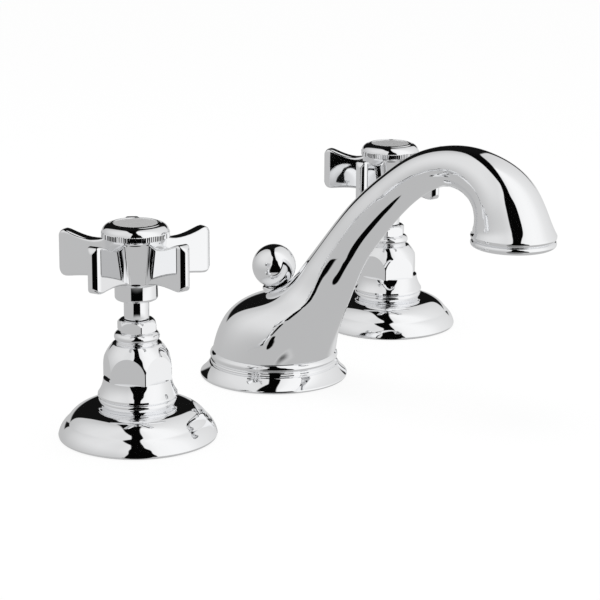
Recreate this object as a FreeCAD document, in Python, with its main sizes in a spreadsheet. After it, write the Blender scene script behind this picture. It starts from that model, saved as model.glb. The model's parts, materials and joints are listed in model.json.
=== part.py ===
"""Three-hole basin mixer: a swan-neck spout with a pop-up lift knob, and two side valves with cross handles.

Frame: origin on the deck, under the middle of the spout's foot. +Z is up, the spout points to -Y,
and the side valves stand at -X (hot) and +X (cold). Lengths are in millimetres, angles in degrees.
"""
import FreeCAD, Part

import math
import os

import Sketcher

# Driving dimensions, in groups: alias, value, meaning
DIMENSIONS = {
    "layout": (
        ("valve_spacing", 200.0, "between the axes of the two side valves"),
        ("deck_thickness", 20.0, "the deck that the mixer is clamped to"),
        ("gasket_thickness", 0.9, "rubber under each deck ring"),
        ("foot_edge_gap", 0.35, "deck to the metal edge outside each gasket"),
        ("seat_gap", 0.1, "radial gap between fixed pieces that screw or slip together"),
        ("running_gap", 0.05, "radial gap between a turning or sliding shaft and its hole"),
        ("turning_gap", 0.3, "gap between faces that pass each other"),
        ("overrun", 1.0, "how far a cutting shape stands out of what it cuts"),
    ),
    "escutcheon": (
        ("escutcheon_radius", 31.6, "widest radius, in the lip"),
        ("escutcheon_foot_inset", 0.2, "how far the foot edge is drawn in"),
        ("escutcheon_lip_rise", 0.9, "foot edge to the widest place"),
        ("escutcheon_crease_inset", 3.8, "from the widest radius in to the crease"),
        ("escutcheon_crease_height", 7.2, "deck to the crease"),
        ("escutcheon_lip_bulge", 0.6, "roundness of the lip"),
        ("escutcheon_height", 13.2, "deck to the top of the dome"),
        ("escutcheon_neck_radius", 14.6, "top of the dome"),
        ("escutcheon_dome_bulge", 2.1, "roundness of the dome"),
        ("escutcheon_wall", 2.2, "wall of the shell"),
        ("gasket_inset", 1.0, "gasket edge inside the ring that it seals"),
        ("gasket_width", 6.4, "width of the gaskets"),
    ),
    "bead_ring": (
        ("bead_ring_height", 4.5, "height of the ring over the dome"),
        ("bead_ring_top_radius", 15.3, "groove under the bonnet"),
        ("bead_ring_bulge", 1.0, "roundness of the bead"),
    ),
    "bonnet": (
        ("skirt_radius", 16.05, "widest radius of the flange skirt"),
        ("skirt_chamfer", 0.7, "edge under the skirt"),
        ("skirt_rim", 0.9, "straight rim of the skirt"),
        ("skirt_height", 6.7, "bead ring to the top of the skirt"),
        ("skirt_top_radius", 13.7, "top of the skirt"),
        ("skirt_hollow", 0.5, "hollow of the skirt's flank"),
        ("bell_corner_radius", 14.2, "corners of the six-sided bell"),
        ("bell_straight", 2.6, "skirt to where the dome starts"),
        ("bell_height", 14.0, "skirt to the top of the bell"),
        ("bell_top_radius", 9.6, "top of the bell"),
        ("bell_bulge", 1.15, "roundness of the bell"),
        ("bell_roof", 2.4, "roof of the bell"),
        ("bell_cavity_radius", 11.2, "inside of the bell"),
        ("bonnet_thread_depth", 5.0, "thread inside the skirt"),
        ("hot_bell_turn", -11.0, "turn of the left bell's corners"),
        ("cold_bell_turn", 25.0, "turn of the right bell's corners"),
    ),
    "neck_ring": (
        ("neck_ring_groove_radius", 8.3, "groove on top of the bell"),
        ("neck_ring_groove", 0.8, "height of the groove"),
        ("neck_ring_height", 4.9, "bell to gland nut"),
        ("neck_ring_top_radius", 7.6, "top edge of the bead"),
        ("neck_ring_edge_radius", 7.9, "lower edge of the bead"),
        ("neck_ring_bulge", 1.3, "roundness of the bead"),
    ),
    "gland_nut": (
        ("nut_corner_radius", 8.05, "corners of the gland nut"),
        ("nut_height", 4.8, "height of the gland nut"),
        ("nut_chamfer", 0.8, "chamfer on both faces"),
        ("nut_roof", 1.3, "top of the nut over the cartridge"),
        ("nut_hole_gap", 0.5, "gap between nut and spindle"),
    ),
    "cartridge": (
        ("cartridge_neck_radius", 5.7, "threaded neck through bell and nut"),
        ("cartridge_barrel_radius", 8.9, "barrel inside the valve body"),
        ("cartridge_barrel_length", 23.6, "shoulder to the barrel's lower end"),
        ("cartridge_shoulder_radius", 10.6, "shoulder on the valve body"),
        ("cartridge_shoulder", 3.4, "height of the shoulder"),
        ("disc_chamber_radius", 7.6, "chamber that holds the ceramic discs"),
        ("disc_thickness", 3.0, "each ceramic disc"),
        ("disc_radius", 7.5, "ceramic discs"),
        ("disc_face_gap", 0.05, "film between the discs"),
        ("disc_edge_gap", 0.2, "gap round the moving disc"),
        ("disc_port_radius", 1.9, "water ports through the discs"),
        ("disc_port_offset", 4.2, "ports from the axis"),
        ("window_width", 6.0, "side windows of the barrel"),
        ("window_height", 3.4, "side windows of the barrel"),
        ("seat_seal_height", 2.0, "rubber under the cartridge"),
        ("seat_seal_inner_radius", 5.6, "rubber under the cartridge"),
        ("spindle_seal_height", 2.0, "ring round the spindle"),
        ("spindle_seal_width", 1.2, "ring round the spindle"),
        ("spindle_seal_depth", 16.0, "neck's top to the ring"),
    ),
    "spindle": (
        ("spindle_radius", 3.4, "shaft inside the cartridge"),
        ("spindle_flange_radius", 6.6, "foot that drives the moving disc"),
        ("spindle_flange", 1.7, "height of the foot"),
        ("spindle_sleeve_radius", 5.0, "visible stem under the handle"),
        ("spindle_sleeve_length", 7.7, "visible stem under the handle"),
        ("spindle_spline_radius", 3.95, "end inside the handle"),
        ("spindle_spline_length", 12.0, "end inside the handle"),
    ),
    "handle": (
        ("handle_radius", 31.0, "axis to the end of a blade"),
        ("handle_turn", 39.0, "turn of the first blade"),
        ("blade_count", 5.0, "blades round the hub"),
        ("blade_tip_width", 5.4, "thickness of a blade near its end"),
        ("blade_root_width", 4.4, "thickness of a blade at the hub"),
        ("blade_root_fillet", 2.4, "hollow between blade and hub"),
        ("blade_end_rounding", 2.0, "upright edges of the blade's end"),
        ("collar_radius", 8.5, "collar under the hub"),
        ("collar_height", 6.2, "collar under the hub"),
        ("collar_rounding", 0.6, "lower edge of the collar"),
        ("hub_radius", 13.3, "hub of the handle"),
        ("hub_slope", 2.0, "rise of the hub's underside"),
        ("hub_height", 18.9, "collar to the top of the hub"),
        ("blade_top_drop", 1.8, "hub's top down to the blade's waist"),
        ("blade_waist_length", 3.0, "hub to where the blade flares"),
        ("blade_tip_rise", 3.4, "waist up to the blade's upper corner"),
        ("blade_tip_fall", 0.2, "waist down to the blade's lower corner"),
        ("blade_corner_inset", 4.6, "rounded corners of the blade"),
        ("blade_corner_bulge", 1.2, "roundness of those corners"),
        ("screw_hole_radius", 2.1, "hole through the hub"),
        ("hub_web", 3.0, "web under the screw's head"),
        ("hub_recess_radius", 9.2, "recess under the cap"),
    ),
    "cap": (
        ("cap_radius", 13.4, "knurled band"),
        ("cap_band_height", 2.3, "knurled band"),
        ("cap_rim_radius", 9.3, "ridge round the disc"),
        ("cap_rim_height", 5.5, "hub to the ridge"),
        ("cap_dome_bulge", 0.85, "roundness of the cap"),
        ("cap_spigot_depth", 4.0, "spigot inside the hub"),
        ("cap_spigot_radius", 9.1, "spigot inside the hub"),
        ("cap_wall", 1.6, "wall of the spigot"),
        ("index_radius", 8.65, "plain disc in the cap"),
        ("index_thickness", 1.4, "plain disc in the cap"),
        ("index_inset", 0.3, "disc under the ridge"),
        ("screw_radius", 2.0, "handle screw"),
        ("screw_head_radius", 4.0, "handle screw"),
        ("screw_head_height", 2.6, "handle screw"),
        ("screw_length", 9.0, "handle screw below its head"),
        ("screw_slot_radius", 1.5, "hexagon socket in the head"),
        ("screw_slot_depth", 1.6, "hexagon socket in the head"),
    ),
    "valve_body": (
        ("valve_neck_radius", 13.2, "threaded neck through the deck"),
        ("valve_neck_top", 22.6, "deck to the top of the neck"),
        ("valve_neck_depth", 46.0, "deck down to the barrel"),
        ("valve_barrel_radius", 16.0, "cast barrel under the deck"),
        ("valve_barrel_length", 21.0, "cast barrel under the deck"),
        ("inlet_radius", 10.48, "male G1/2 thread"),
        ("inlet_length", 20.0, "male G1/2 thread"),
        ("inlet_bore_radius", 6.0, "waterway of the inlet"),
        ("outlet_port_radius", 8.33, "male G3/8 thread"),
        ("outlet_port_reach", 31.0, "axis to the port's end"),
        ("outlet_port_bore_radius", 5.5, "waterway of the port"),
        ("port_collar_radius", 10.2, "collar behind each G3/8 thread"),
        ("port_collar_reach", 2.0, "barrel's side to the collar's face"),
        ("gallery_radius", 10.4, "ring-shaped waterway round the windows"),
        ("gallery_height", 9.0, "ring-shaped waterway round the windows"),
        ("return_hole_radius", 1.9, "drilled waterways beside the inlet"),
        ("return_hole_offset", 10.2, "drilled waterways from the axis"),
        ("return_hole_angle", 30.0, "between the drilled waterways"),
    ),
    "under_deck": (
        ("washer_outer_radius", 21.0, "washers under the deck"),
        ("rubber_washer_height", 3.0, "rubber washer"),
        ("metal_washer_height", 1.6, "metal washer"),
        ("backnut_corner_radius", 20.5, "six-sided backnut"),
        ("backnut_height", 8.0, "six-sided backnut"),
        ("backnut_chamfer", 1.0, "chamfer of the backnut"),
    ),
    "spout": (
        ("spout_reach", 113.75, "foot's axis to the mouth's axis"),
        ("foot_height", 11.8, "deck to the foot's lower edge"),
        ("neck_rise", 89.9, "foot's lower edge to the top of the neck's axis"),
        ("foot_radius", 26.9, "foot at the deck ring"),
        ("neck_radius", 8.3, "thinnest place of the neck"),
        ("mouth_radius", 17.4, "widest place of the mouth"),
        ("mouth_drop", 24.2, "top of the neck's axis to the mouth's widest place"),
        ("mouth_lip", 2.3, "widest place to the lower edge"),
        ("mouth_lip_inset", 0.6, "tuck under the lip"),
        ("spout_wall", 2.6, "wall of the casting"),
        ("foot_floor", 3.2, "floor of the casting"),
        ("foot_boss_radius", 17.0, "threaded boss inside the foot"),
        ("foot_boss_height", 15.0, "threaded boss inside the foot"),
        ("mouth_bore_radius", 12.7, "bore for the aerator housing"),
        ("mouth_bore_depth", 9.0, "bore for the aerator housing"),
    ),
    "spout_base": (
        ("base_ring_radius", 32.0, "widest radius of the deck ring"),
        ("base_ring_foot_inset", 0.7, "how far the foot edge is drawn in"),
        ("base_ring_edge_bulge", 0.2, "roundness of the foot edge"),
        ("base_ring_edge", 1.5, "foot edge to the widest place"),
        ("base_flare_top_radius", 27.9, "top of the flared skirt"),
        ("base_flare_top", 6.2, "deck to the top of the skirt"),
        ("base_flare_hollow", 0.35, "hollow of the skirt"),
        ("fine_bead_inset", 0.6, "fine bead behind the skirt's top"),
        ("fine_bead_height", 1.7, "fine bead"),
        ("fine_bead_bulge", 0.45, "roundness of the fine bead"),
        ("base_bead_bulge", 0.8, "roundness of the large bead"),
        ("base_ring_roof", 3.0, "roof of the deck ring"),
        ("base_ring_wall", 3.2, "wall of the deck ring"),
    ),
    "outlet": (
        ("outlet_ring_radius", 16.9, "edge of the ring at the mouth"),
        ("outlet_ring_height", 3.1, "visible ring"),
        ("outlet_ring_bulge", 0.75, "roundness of the ring"),
        ("outlet_sleeve_length", 7.6, "sleeve inside the mouth"),
        ("outlet_sleeve_wall", 1.7, "sleeve inside the mouth"),
        ("aerator_inset", 1.0, "insert above the ring's lower face"),
        ("aerator_height", 7.0, "insert"),
        ("aerator_seal_height", 1.5, "rubber ring over the insert"),
        ("aerator_seal_width", 2.4, "rubber ring over the insert"),
        ("aerator_hole_radius", 0.75, "holes of the insert"),
        ("aerator_hole_pitch", 2.6, "between rings of holes"),
    ),
    "pop_up": (
        ("knob_radius", 9.4, "ball knob"),
        ("knob_height", 48.6, "deck to the ball's centre at rest"),
        ("knob_flat", 0.5, "flat under the ball"),
        ("rod_radius", 2.5, "lift rod"),
        ("rod_depth", 115.0, "deck down to the rod's end"),
        ("rod_end_radius", 2.0, "thread on the rod's lower end"),
        ("rod_end_length", 20.0, "thread on the rod's lower end"),
        ("rod_hold", 0.6, "how far the rod stops under the ball's centre"),
        ("guide_radius", 4.2, "tube round the rod"),
        ("guide_bore_radius", 3.2, "tube round the rod"),
        ("guide_bush_length", 9.0, "bush at each end of the tube"),
        ("guide_collar_radius", 4.9, "collar under the ball"),
        ("guide_collar_height", 1.1, "collar under the ball"),
        ("guide_depth", 92.0, "deck down to the tube's end"),
    ),
    "shank": (
        ("shank_radius", 13.0, "threaded shank"),
        ("shank_bore_radius", 9.6, "waterway of the shank"),
        ("shank_top", 26.0, "deck to the shank's top"),
        ("shank_depth", 70.0, "deck down to the shank's end"),
        ("shank_seal_height", 2.0, "ring under the casting"),
        ("shank_seal_width", 2.0, "ring under the casting"),
        ("tee_radius", 17.5, "inlet tee on the shank"),
        ("tee_cover", 8.0, "tee over the end of the shank"),
        ("tee_chamber", 14.0, "shank's end to the tee's floor"),
        ("tee_floor", 4.0, "floor of the tee"),
        ("tee_port_reach", 34.0, "axis to a port's end"),
    ),
}

# Sections of the spout from foot to mouth: forward share of spout_reach, upward share of neck_rise,
# lean as a share of a half turn, and how far the radius has grown from the neck's towards the foot's
FOOT_SHARES = (
    (0.000, 0.000, 0.000, 1.000),
    (0.025, 0.105, -0.019, 1.000),
    (0.045, 0.155, 0.022, 0.901),
    (0.098, 0.235, 0.028, 0.703),
    (0.185, 0.311, 0.030, 0.351),
    (0.252, 0.419, 0.050, 0.190),
    (0.312, 0.539, 0.126, 0.107),
    (0.404, 0.697, 0.234, 0.073),
    (0.525, 0.855, 0.297, 0.021),
    (0.649, 0.966, 0.382, 0.000),
)
# The same for the mouth's end: the drop is a share of mouth_drop below the neck's top, and the radius
# grows towards the mouth's
MOUTH_SHARES = (
    (0.758, 0.000, 0.484, 0.028),
    (0.882, 0.173, 0.597, 0.326),
    (0.960, 0.551, 0.788, 0.679),
    (0.987, 0.826, 0.928, 0.792),
    (1.000, 1.000, 1.000, 1.000),
)
# A round section as four arcs: the corners of the square about it, one unit from its middle, and the
# weight of the corner that pulls each arc
SECTION_CORNERS = ((1, 0), (1, 1), (0, 1), (-1, 1), (-1, 0), (-1, -1), (0, -1), (1, -1), (1, 0))
CORNER_WEIGHT = math.sqrt(0.5)
SEWING_GAP = 0.0001
HALF_TURN = 180.0
FULL_TURN = 360.0
NUT_SIDES = 6
# Rings of holes in the aerator's insert, and how many more holes each ring has than the one inside it
AERATOR_RING_COUNT = 4
AERATOR_HOLE_COUNT = 6
SIDES = (("hot", -1), ("cold", 1))

document = FreeCAD.newDocument("BasinMixer")
sheet = document.addObject("Spreadsheet::Sheet", "Dimensions")


class Size:
    """A value that knows its number and the sheet expression that it comes from."""

    def __init__(self, number, text):
        self.number = number
        self.text = text

    def __neg__(self):
        return Size(-self.number, f"(-{self.text})")

    def __add__(self, other):
        other = as_size(other)
        return Size(self.number + other.number, f"({self.text} + {other.text})")

    def __sub__(self, other):
        other = as_size(other)
        return Size(self.number - other.number, f"({self.text} - {other.text})")

    def __mul__(self, other):
        other = as_size(other)
        return Size(self.number * other.number, f"({self.text} * {other.text})")

    def __truediv__(self, other):
        other = as_size(other)
        return Size(self.number / other.number, f"({self.text} / {other.text})")

    def __float__(self):
        return self.number


def as_size(value):
    """A plain number, such as a share or zero, as a Size."""
    if isinstance(value, Size):
        return value
    return Size(float(value), repr(float(value)))


def fill_sheet():
    """Write the driving dimensions into the sheet and return them by name."""
    sizes = {}
    row = 0
    for group, entries in DIMENSIONS.items():
        row += 1
        sheet.set(f"A{row}", group)
        for alias, number, meaning in entries:
            row += 1
            sheet.set(f"A{row}", alias)
            sheet.set(f"B{row}", str(number))
            sheet.set(f"C{row}", meaning)
            sheet.setAlias(f"B{row}", alias)
            sizes[alias] = Size(number, f"Dimensions.{alias}")
    document.recompute()
    return sizes


class Named:
    """Lets the model say size.neck_radius for the sheet's neck_radius."""

    def __init__(self, sizes):
        self.__dict__.update(sizes)


size = Named(fill_sheet())
pieces = []


def bind(feature, **values):
    """Set properties of a feature and tie them to the sheet."""
    for name, value in values.items():
        path = name.replace("__", ".")
        feature.setExpression(path, as_size(value).text)


def place(feature, x=0, y=0, z=0):
    """Tie a feature's place to the sheet."""
    bind(feature, Placement__Base__x=x, Placement__Base__y=y, Placement__Base__z=z)


def turn(feature, angle, axis=(0, 0, 1)):
    """Turn a feature about an axis through its own origin."""
    feature.Placement.Rotation = FreeCAD.Rotation(FreeCAD.Vector(*axis), float(as_size(angle)))
    feature.setExpression("Placement.Rotation.Angle", as_size(angle).text)


def keep(feature, label, x=0):
    """Name a finished sub-part and stand it on its axis."""
    feature.Label = label
    if x != 0:
        bind(feature, Placement__Base__x=x)
    pieces.append(feature)
    return feature


def bind_point(sketch, geometry, end, x, y):
    """Fix one end of a line or arc in its sketch."""
    for kind, axis, value in (("DistanceX", -2, x), ("DistanceY", -1, y)):
        value = as_size(value)
        if value.number == 0:
            sketch.addConstraint(Sketcher.Constraint("PointOnObject", geometry, end, axis))
            continue
        number = sketch.addConstraint(
            Sketcher.Constraint(kind, -1, 1, geometry, end, value.number))
        sketch.setExpression(f"Constraints[{number}]", value.text)


def arc_radius(start, end, bulge):
    """Radius of the arc that stands out of its chord by the bulge, as a Size."""
    run = as_size(end[0]) - start[0]
    rise = as_size(end[1]) - start[1]
    quarter_chord = (run * run + rise * rise) / 4
    radius = (quarter_chord + bulge * bulge) / (bulge * 2)
    return radius if radius.number > 0 else -radius


def add_arc(sketch, start, end, bulge):
    """Add an arc that stands out to the right of the way from start to end, and say which end starts it."""
    first = FreeCAD.Vector(float(as_size(start[0])), float(as_size(start[1])), 0)
    last = FreeCAD.Vector(float(as_size(end[0])), float(as_size(end[1])), 0)
    chord = last - first
    outward = FreeCAD.Vector(chord.y, -chord.x, 0).normalize()
    middle = (first + last) / 2 + outward * bulge.number
    radius = arc_radius(start, end, bulge)
    inward = -1 if bulge.number > 0 else 1
    centre = middle + outward * inward * radius.number
    counter = bulge.number > 0
    begin, finish = (first, last) if counter else (last, first)
    start_angle = math.atan2(begin.y - centre.y, begin.x - centre.x)
    end_angle = math.atan2(finish.y - centre.y, finish.x - centre.x)
    circle = Part.Circle(centre, FreeCAD.Vector(0, 0, 1), radius.number)
    geometry = sketch.addGeometry(Part.ArcOfCircle(circle, start_angle, end_angle), False)
    number = sketch.addConstraint(Sketcher.Constraint("Radius", geometry, radius.number))
    sketch.setExpression(f"Constraints[{number}]", radius.text)
    return geometry, counter


def draw_outline(sketch, outline):
    """Draw a closed outline of points (x, y), each with an optional bulge of the line that leaves it."""
    ends = []
    for index, (x, y, *bulges) in enumerate(outline):
        following = outline[(index + 1) % len(outline)]
        if bulges:
            geometry, counter = add_arc(sketch, (x, y), following, *bulges)
            ends.append((geometry, (1, 2) if counter else (2, 1)))
        else:
            first = FreeCAD.Vector(float(as_size(x)), float(as_size(y)), 0)
            last = FreeCAD.Vector(float(as_size(following[0])), float(as_size(following[1])), 0)
            ends.append((sketch.addGeometry(Part.LineSegment(first, last), False), (1, 2)))
    for index, (geometry, (start, finish)) in enumerate(ends):
        after, (next_start, _) = ends[(index + 1) % len(ends)]
        sketch.addConstraint(Sketcher.Constraint("Coincident", geometry, finish, after, next_start))
        bind_point(sketch, geometry, start, outline[index][0], outline[index][1])


def origin_plane(body, role):
    """One of a body's own origin planes."""
    return next(plane for plane in body.Origin.OriginFeatures if plane.Role == role)


def sketch_on(body, role, name):
    """A sketch on one of the body's origin planes."""
    sketch = body.newObject("Sketcher::SketchObject", name)
    sketch.AttachmentSupport = [(origin_plane(body, role), "")]
    sketch.MapMode = "FlatFace"
    return sketch


def turned(name, outline):
    """A body turned about Z from an outline of points (radius, height)."""
    body = document.addObject("PartDesign::Body", name)
    sketch = sketch_on(body, "XZ_Plane", f"{name}_outline")
    draw_outline(sketch, outline)
    turning = body.newObject("PartDesign::Revolution", f"{name}_turning")
    turning.Profile = sketch
    turning.ReferenceAxis = (sketch, ["V_Axis"])
    turning.Angle = FULL_TURN
    return body


def cylinder(name, radius, low, high, x=0, y=0):
    """An upright cylinder between two heights."""
    rod = document.addObject("Part::Cylinder", name)
    bind(rod, Radius=radius, Height=as_size(high) - low)
    place(rod, x, y, low)
    return rod


def cross_cylinder(name, radius, start, end, z, side):
    """A cylinder along X between two distances from the axis, on one side of it."""
    rod = document.addObject("Part::Cylinder", name)
    bind(rod, Radius=radius, Height=as_size(end) - start)
    place(rod, x=as_size(start) * side, z=z)
    rod.Placement.Rotation = FreeCAD.Rotation(FreeCAD.Vector(0, side, 0), HALF_TURN / 2)
    return rod


def prism(name, corner_radius, low, high, angle):
    """A six-sided prism between two heights, turned by an angle."""
    block = document.addObject("Part::Prism", name)
    block.Polygon = NUT_SIDES
    bind(block, Circumradius=corner_radius, Height=as_size(high) - low)
    place(block, z=low)
    turn(block, angle)
    return block


def combine(kind, name, *parts):
    """A boolean of two or more features: Fuse or Common of all, Cut of the rest from the first."""
    if kind == "Cut" and len(parts) > 2:
        parts = (parts[0], combine("Fuse", f"{name}_cutters", *parts[1:]))
    if len(parts) == 2:
        result = document.addObject(f"Part::{kind}", name)
        result.Base, result.Tool = parts
    else:
        result = document.addObject(f"Part::Multi{kind}", name)
        result.Shapes = list(parts)
    return result


def ring_outline(inner, outer, low, high):
    """Outline of a plain ring."""
    return ((inner, low), (outer, low), (outer, high), (inner, high))


def plain_ring(name, inner, outer, low, high, x=0):
    """A washer, gasket or seal."""
    return keep(turned(name, ring_outline(inner, outer, low, high)), name, x)


def escutcheon(name, x):
    """Domed ring on the deck under a side valve."""
    low = size.gasket_thickness
    edge = size.foot_edge_gap
    wide = size.escutcheon_radius
    foot = wide - size.escutcheon_foot_inset
    seat = foot - size.gasket_inset + size.seat_gap
    crease = wide - size.escutcheon_crease_inset
    bore = size.valve_neck_radius + size.seat_gap
    roof = size.escutcheon_height - size.escutcheon_wall
    outline = (
        (foot - size.escutcheon_wall, low),
        (seat, low),
        (seat, edge),
        (foot, edge),
        (wide, edge + size.escutcheon_lip_rise, size.escutcheon_lip_bulge),
        (crease, size.escutcheon_crease_height, size.escutcheon_dome_bulge),
        (size.escutcheon_neck_radius, size.escutcheon_height),
        (bore, size.escutcheon_height),
        (bore, roof),
        (size.escutcheon_neck_radius, roof),
        (crease - size.escutcheon_wall, size.escutcheon_crease_height - size.escutcheon_wall),
    )
    return keep(turned(name, outline), name, x)


def bead_ring(name, x):
    """Bead between the dome and the bonnet."""
    low = size.escutcheon_height
    bore = size.valve_neck_radius + size.seat_gap
    outline = (
        (bore, low),
        (size.escutcheon_neck_radius, low, size.bead_ring_bulge),
        (size.bead_ring_top_radius, low + size.bead_ring_height),
        (bore, low + size.bead_ring_height),
    )
    return keep(turned(name, outline), name, x)


def bonnet_bottom():
    return size.escutcheon_height + size.bead_ring_height


def bell_bottom():
    return bonnet_bottom() + size.skirt_height


def bell_top():
    return bell_bottom() + size.bell_height


def nut_bottom():
    return bell_top() + size.neck_ring_height


def nut_top():
    return nut_bottom() + size.nut_height


def bonnet(name, x, angle):
    """Flange skirt with a domed six-sided bell over it."""
    low = bonnet_bottom()
    waist = bell_bottom()
    skirt = turned(f"{name}_skirt", (
        (0, low),
        (size.skirt_radius - size.skirt_chamfer, low),
        (size.skirt_radius, low + size.skirt_chamfer),
        (size.skirt_radius, low + size.skirt_chamfer + size.skirt_rim, -size.skirt_hollow),
        (size.skirt_top_radius, waist),
        (0, waist),
    ))
    dome = turned(f"{name}_dome", (
        (0, waist),
        (size.bell_corner_radius, waist),
        (size.bell_corner_radius, waist + size.bell_straight, size.bell_bulge),
        (size.bell_top_radius, bell_top()),
        (0, bell_top()),
    ))
    hexagon = prism(f"{name}_hexagon", size.bell_corner_radius, waist, bell_top(), angle)
    bell = combine("Common", f"{name}_bell", dome, hexagon)
    thread_top = low + size.bonnet_thread_depth
    thread = size.valve_neck_radius + size.seat_gap
    hole = size.cartridge_neck_radius + size.seat_gap
    inside = turned(f"{name}_inside", (
        (0, low - size.overrun),
        (thread, low - size.overrun),
        (thread, thread_top),
        (size.bell_cavity_radius, thread_top),
        (size.bell_cavity_radius, bell_top() - size.bell_roof - size.bell_top_radius + hole),
        (hole, bell_top() - size.bell_roof),
        (hole, bell_top() + size.overrun),
        (0, bell_top() + size.overrun),
    ))
    outside = combine("Fuse", f"{name}_outside", skirt, bell)
    return keep(combine("Cut", name, outside, inside), name, x)


def neck_ring(name, x):
    """Bead on top of the bell."""
    low = bell_top()
    hole = size.cartridge_neck_radius + size.seat_gap
    edge = low + size.neck_ring_groove
    outline = (
        (hole, low),
        (size.neck_ring_groove_radius, low),
        (size.neck_ring_groove_radius, edge),
        (size.neck_ring_edge_radius, edge, size.neck_ring_bulge),
        (size.neck_ring_top_radius, nut_bottom()),
        (hole, nut_bottom()),
    )
    return keep(turned(name, outline), name, x)


def six_sided_nut(name, corner, chamfer, hole, low, high, angle, x):
    """A nut with a chamfer on both faces."""
    outside = turned(f"{name}_chamfers", (
        (0, low),
        (corner - chamfer, low),
        (corner, low + chamfer),
        (corner, high - chamfer),
        (corner - chamfer, high),
        (0, high),
    ))
    hexagon = prism(f"{name}_hexagon", corner, low, high, angle)
    block = combine("Common", f"{name}_block", outside, hexagon)
    bore = turned(f"{name}_bore", hole)
    return keep(combine("Cut", name, block, bore), name, x)


def gland_nut(name, x, angle):
    """Small nut that holds the cartridge's neck in the bell."""
    low, high = nut_bottom(), nut_top()
    thread = size.cartridge_neck_radius + size.seat_gap
    passage = size.spindle_radius + size.nut_hole_gap
    hole = (
        (0, low - size.overrun),
        (thread, low - size.overrun),
        (thread, high - size.nut_roof),
        (passage, high - size.nut_roof),
        (passage, high + size.overrun),
        (0, high + size.overrun),
    )
    return six_sided_nut(name, size.nut_corner_radius, size.nut_chamfer, hole, low, high, angle, x)


def barrel_bottom():
    return size.valve_neck_top - size.cartridge_barrel_length


def disc_face():
    """Where the ceramic discs meet."""
    return barrel_bottom() + size.disc_thickness


def spindle_bottom():
    """Where the spindle's foot sits on the moving disc."""
    return disc_face() + size.disc_face_gap + size.disc_thickness


def cartridge_body(name, x):
    """Brass cartridge with its disc chamber and side windows."""
    low = barrel_bottom()
    shoulder = size.valve_neck_top
    neck_top = nut_top() - size.nut_roof
    shaft = size.spindle_radius + size.running_gap
    groove = shaft + size.spindle_seal_width
    groove_top = neck_top - size.spindle_seal_depth
    chamber_top = spindle_bottom() + size.spindle_flange + size.turning_gap
    body = turned(f"{name}_barrel", (
        (size.disc_chamber_radius, low),
        (size.cartridge_barrel_radius, low),
        (size.cartridge_barrel_radius, shoulder),
        (size.cartridge_shoulder_radius, shoulder),
        (size.cartridge_shoulder_radius, shoulder + size.cartridge_shoulder),
        (size.cartridge_neck_radius, shoulder + size.cartridge_shoulder),
        (size.cartridge_neck_radius, neck_top),
        (shaft, neck_top),
        (shaft, groove_top),
        (groove, groove_top),
        (groove, groove_top - size.spindle_seal_height),
        (shaft, groove_top - size.spindle_seal_height),
        (shaft, chamber_top),
        (size.disc_chamber_radius, chamber_top),
    ))
    window = document.addObject("Part::Box", f"{name}_windows")
    wide = (size.cartridge_barrel_radius + size.overrun) * 2
    bind(window, Length=wide, Width=size.window_width, Height=size.window_height)
    place(window, -(wide / 2), -(size.window_width / 2), disc_face())
    return keep(combine("Cut", name, body, window), name, x)


def ceramic_disc(name, radius, low, x, along_x):
    """A ceramic disc with two ports on a line through its middle."""
    high = low + size.disc_thickness
    disc = cylinder(f"{name}_blank", radius, low, high)
    ports = []
    for side in (-1, 1):
        offset = size.disc_port_offset * side
        where = {"x": offset} if along_x else {"y": offset}
        port = cylinder(f"{name}_port", size.disc_port_radius, low - size.overrun,
                        high + size.overrun, **where)
        ports.append(port)
    return keep(combine("Cut", name, disc, *ports), name, x)


def spindle(name, x):
    """Spindle from the moving disc up into the handle, tapped for the handle's screw."""
    low = spindle_bottom()
    sleeve = nut_top() + size.turning_gap
    collar = collar_bottom()
    top = collar + size.spindle_spline_length
    tapped = screw_tip()
    outline = (
        (0, low),
        (size.spindle_flange_radius, low),
        (size.spindle_flange_radius, low + size.spindle_flange),
        (size.spindle_radius, low + size.spindle_flange),
        (size.spindle_radius, sleeve),
        (size.spindle_sleeve_radius, sleeve),
        (size.spindle_sleeve_radius, collar),
        (size.spindle_spline_radius, collar),
        (size.spindle_spline_radius, top),
        (size.screw_radius, top),
        (size.screw_radius, tapped),
        (0, tapped),
    )
    return keep(turned(name, outline), name, x)


def collar_bottom():
    return nut_top() + size.turning_gap + size.spindle_sleeve_length


def hub_top():
    return collar_bottom() + size.collar_height + size.hub_height


def screw_seat():
    """Where the head of the handle's screw sits."""
    return collar_bottom() + size.spindle_spline_length + size.hub_web


def screw_tip():
    return screw_seat() - size.screw_length


def handle_elevation(name):
    """The handle's side view turned about its axis: collar, hub and the blades' edges."""
    low = collar_bottom()
    hub_low = low + size.collar_height
    waist_low = hub_low + size.hub_slope
    waist_high = hub_top() - size.blade_top_drop
    root = size.hub_radius + size.blade_waist_length
    tip_low = waist_low - size.blade_tip_fall
    tip_high = waist_high + size.blade_tip_rise
    corner = size.blade_corner_inset
    end = size.handle_radius
    return turned(name, (
        (0, low),
        (size.collar_radius - size.collar_rounding, low),
        (size.collar_radius, low + size.collar_rounding),
        (size.collar_radius, hub_low),
        (size.hub_radius, waist_low),
        (root, waist_low),
        (end - corner, tip_low, size.blade_corner_bulge),
        (end, tip_low + corner),
        (end, tip_high - corner, size.blade_corner_bulge),
        (end - corner, tip_high),
        (root, waist_high),
        (size.hub_radius, waist_high),
        (size.hub_radius, hub_top()),
        (0, hub_top()),
    ))


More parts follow.
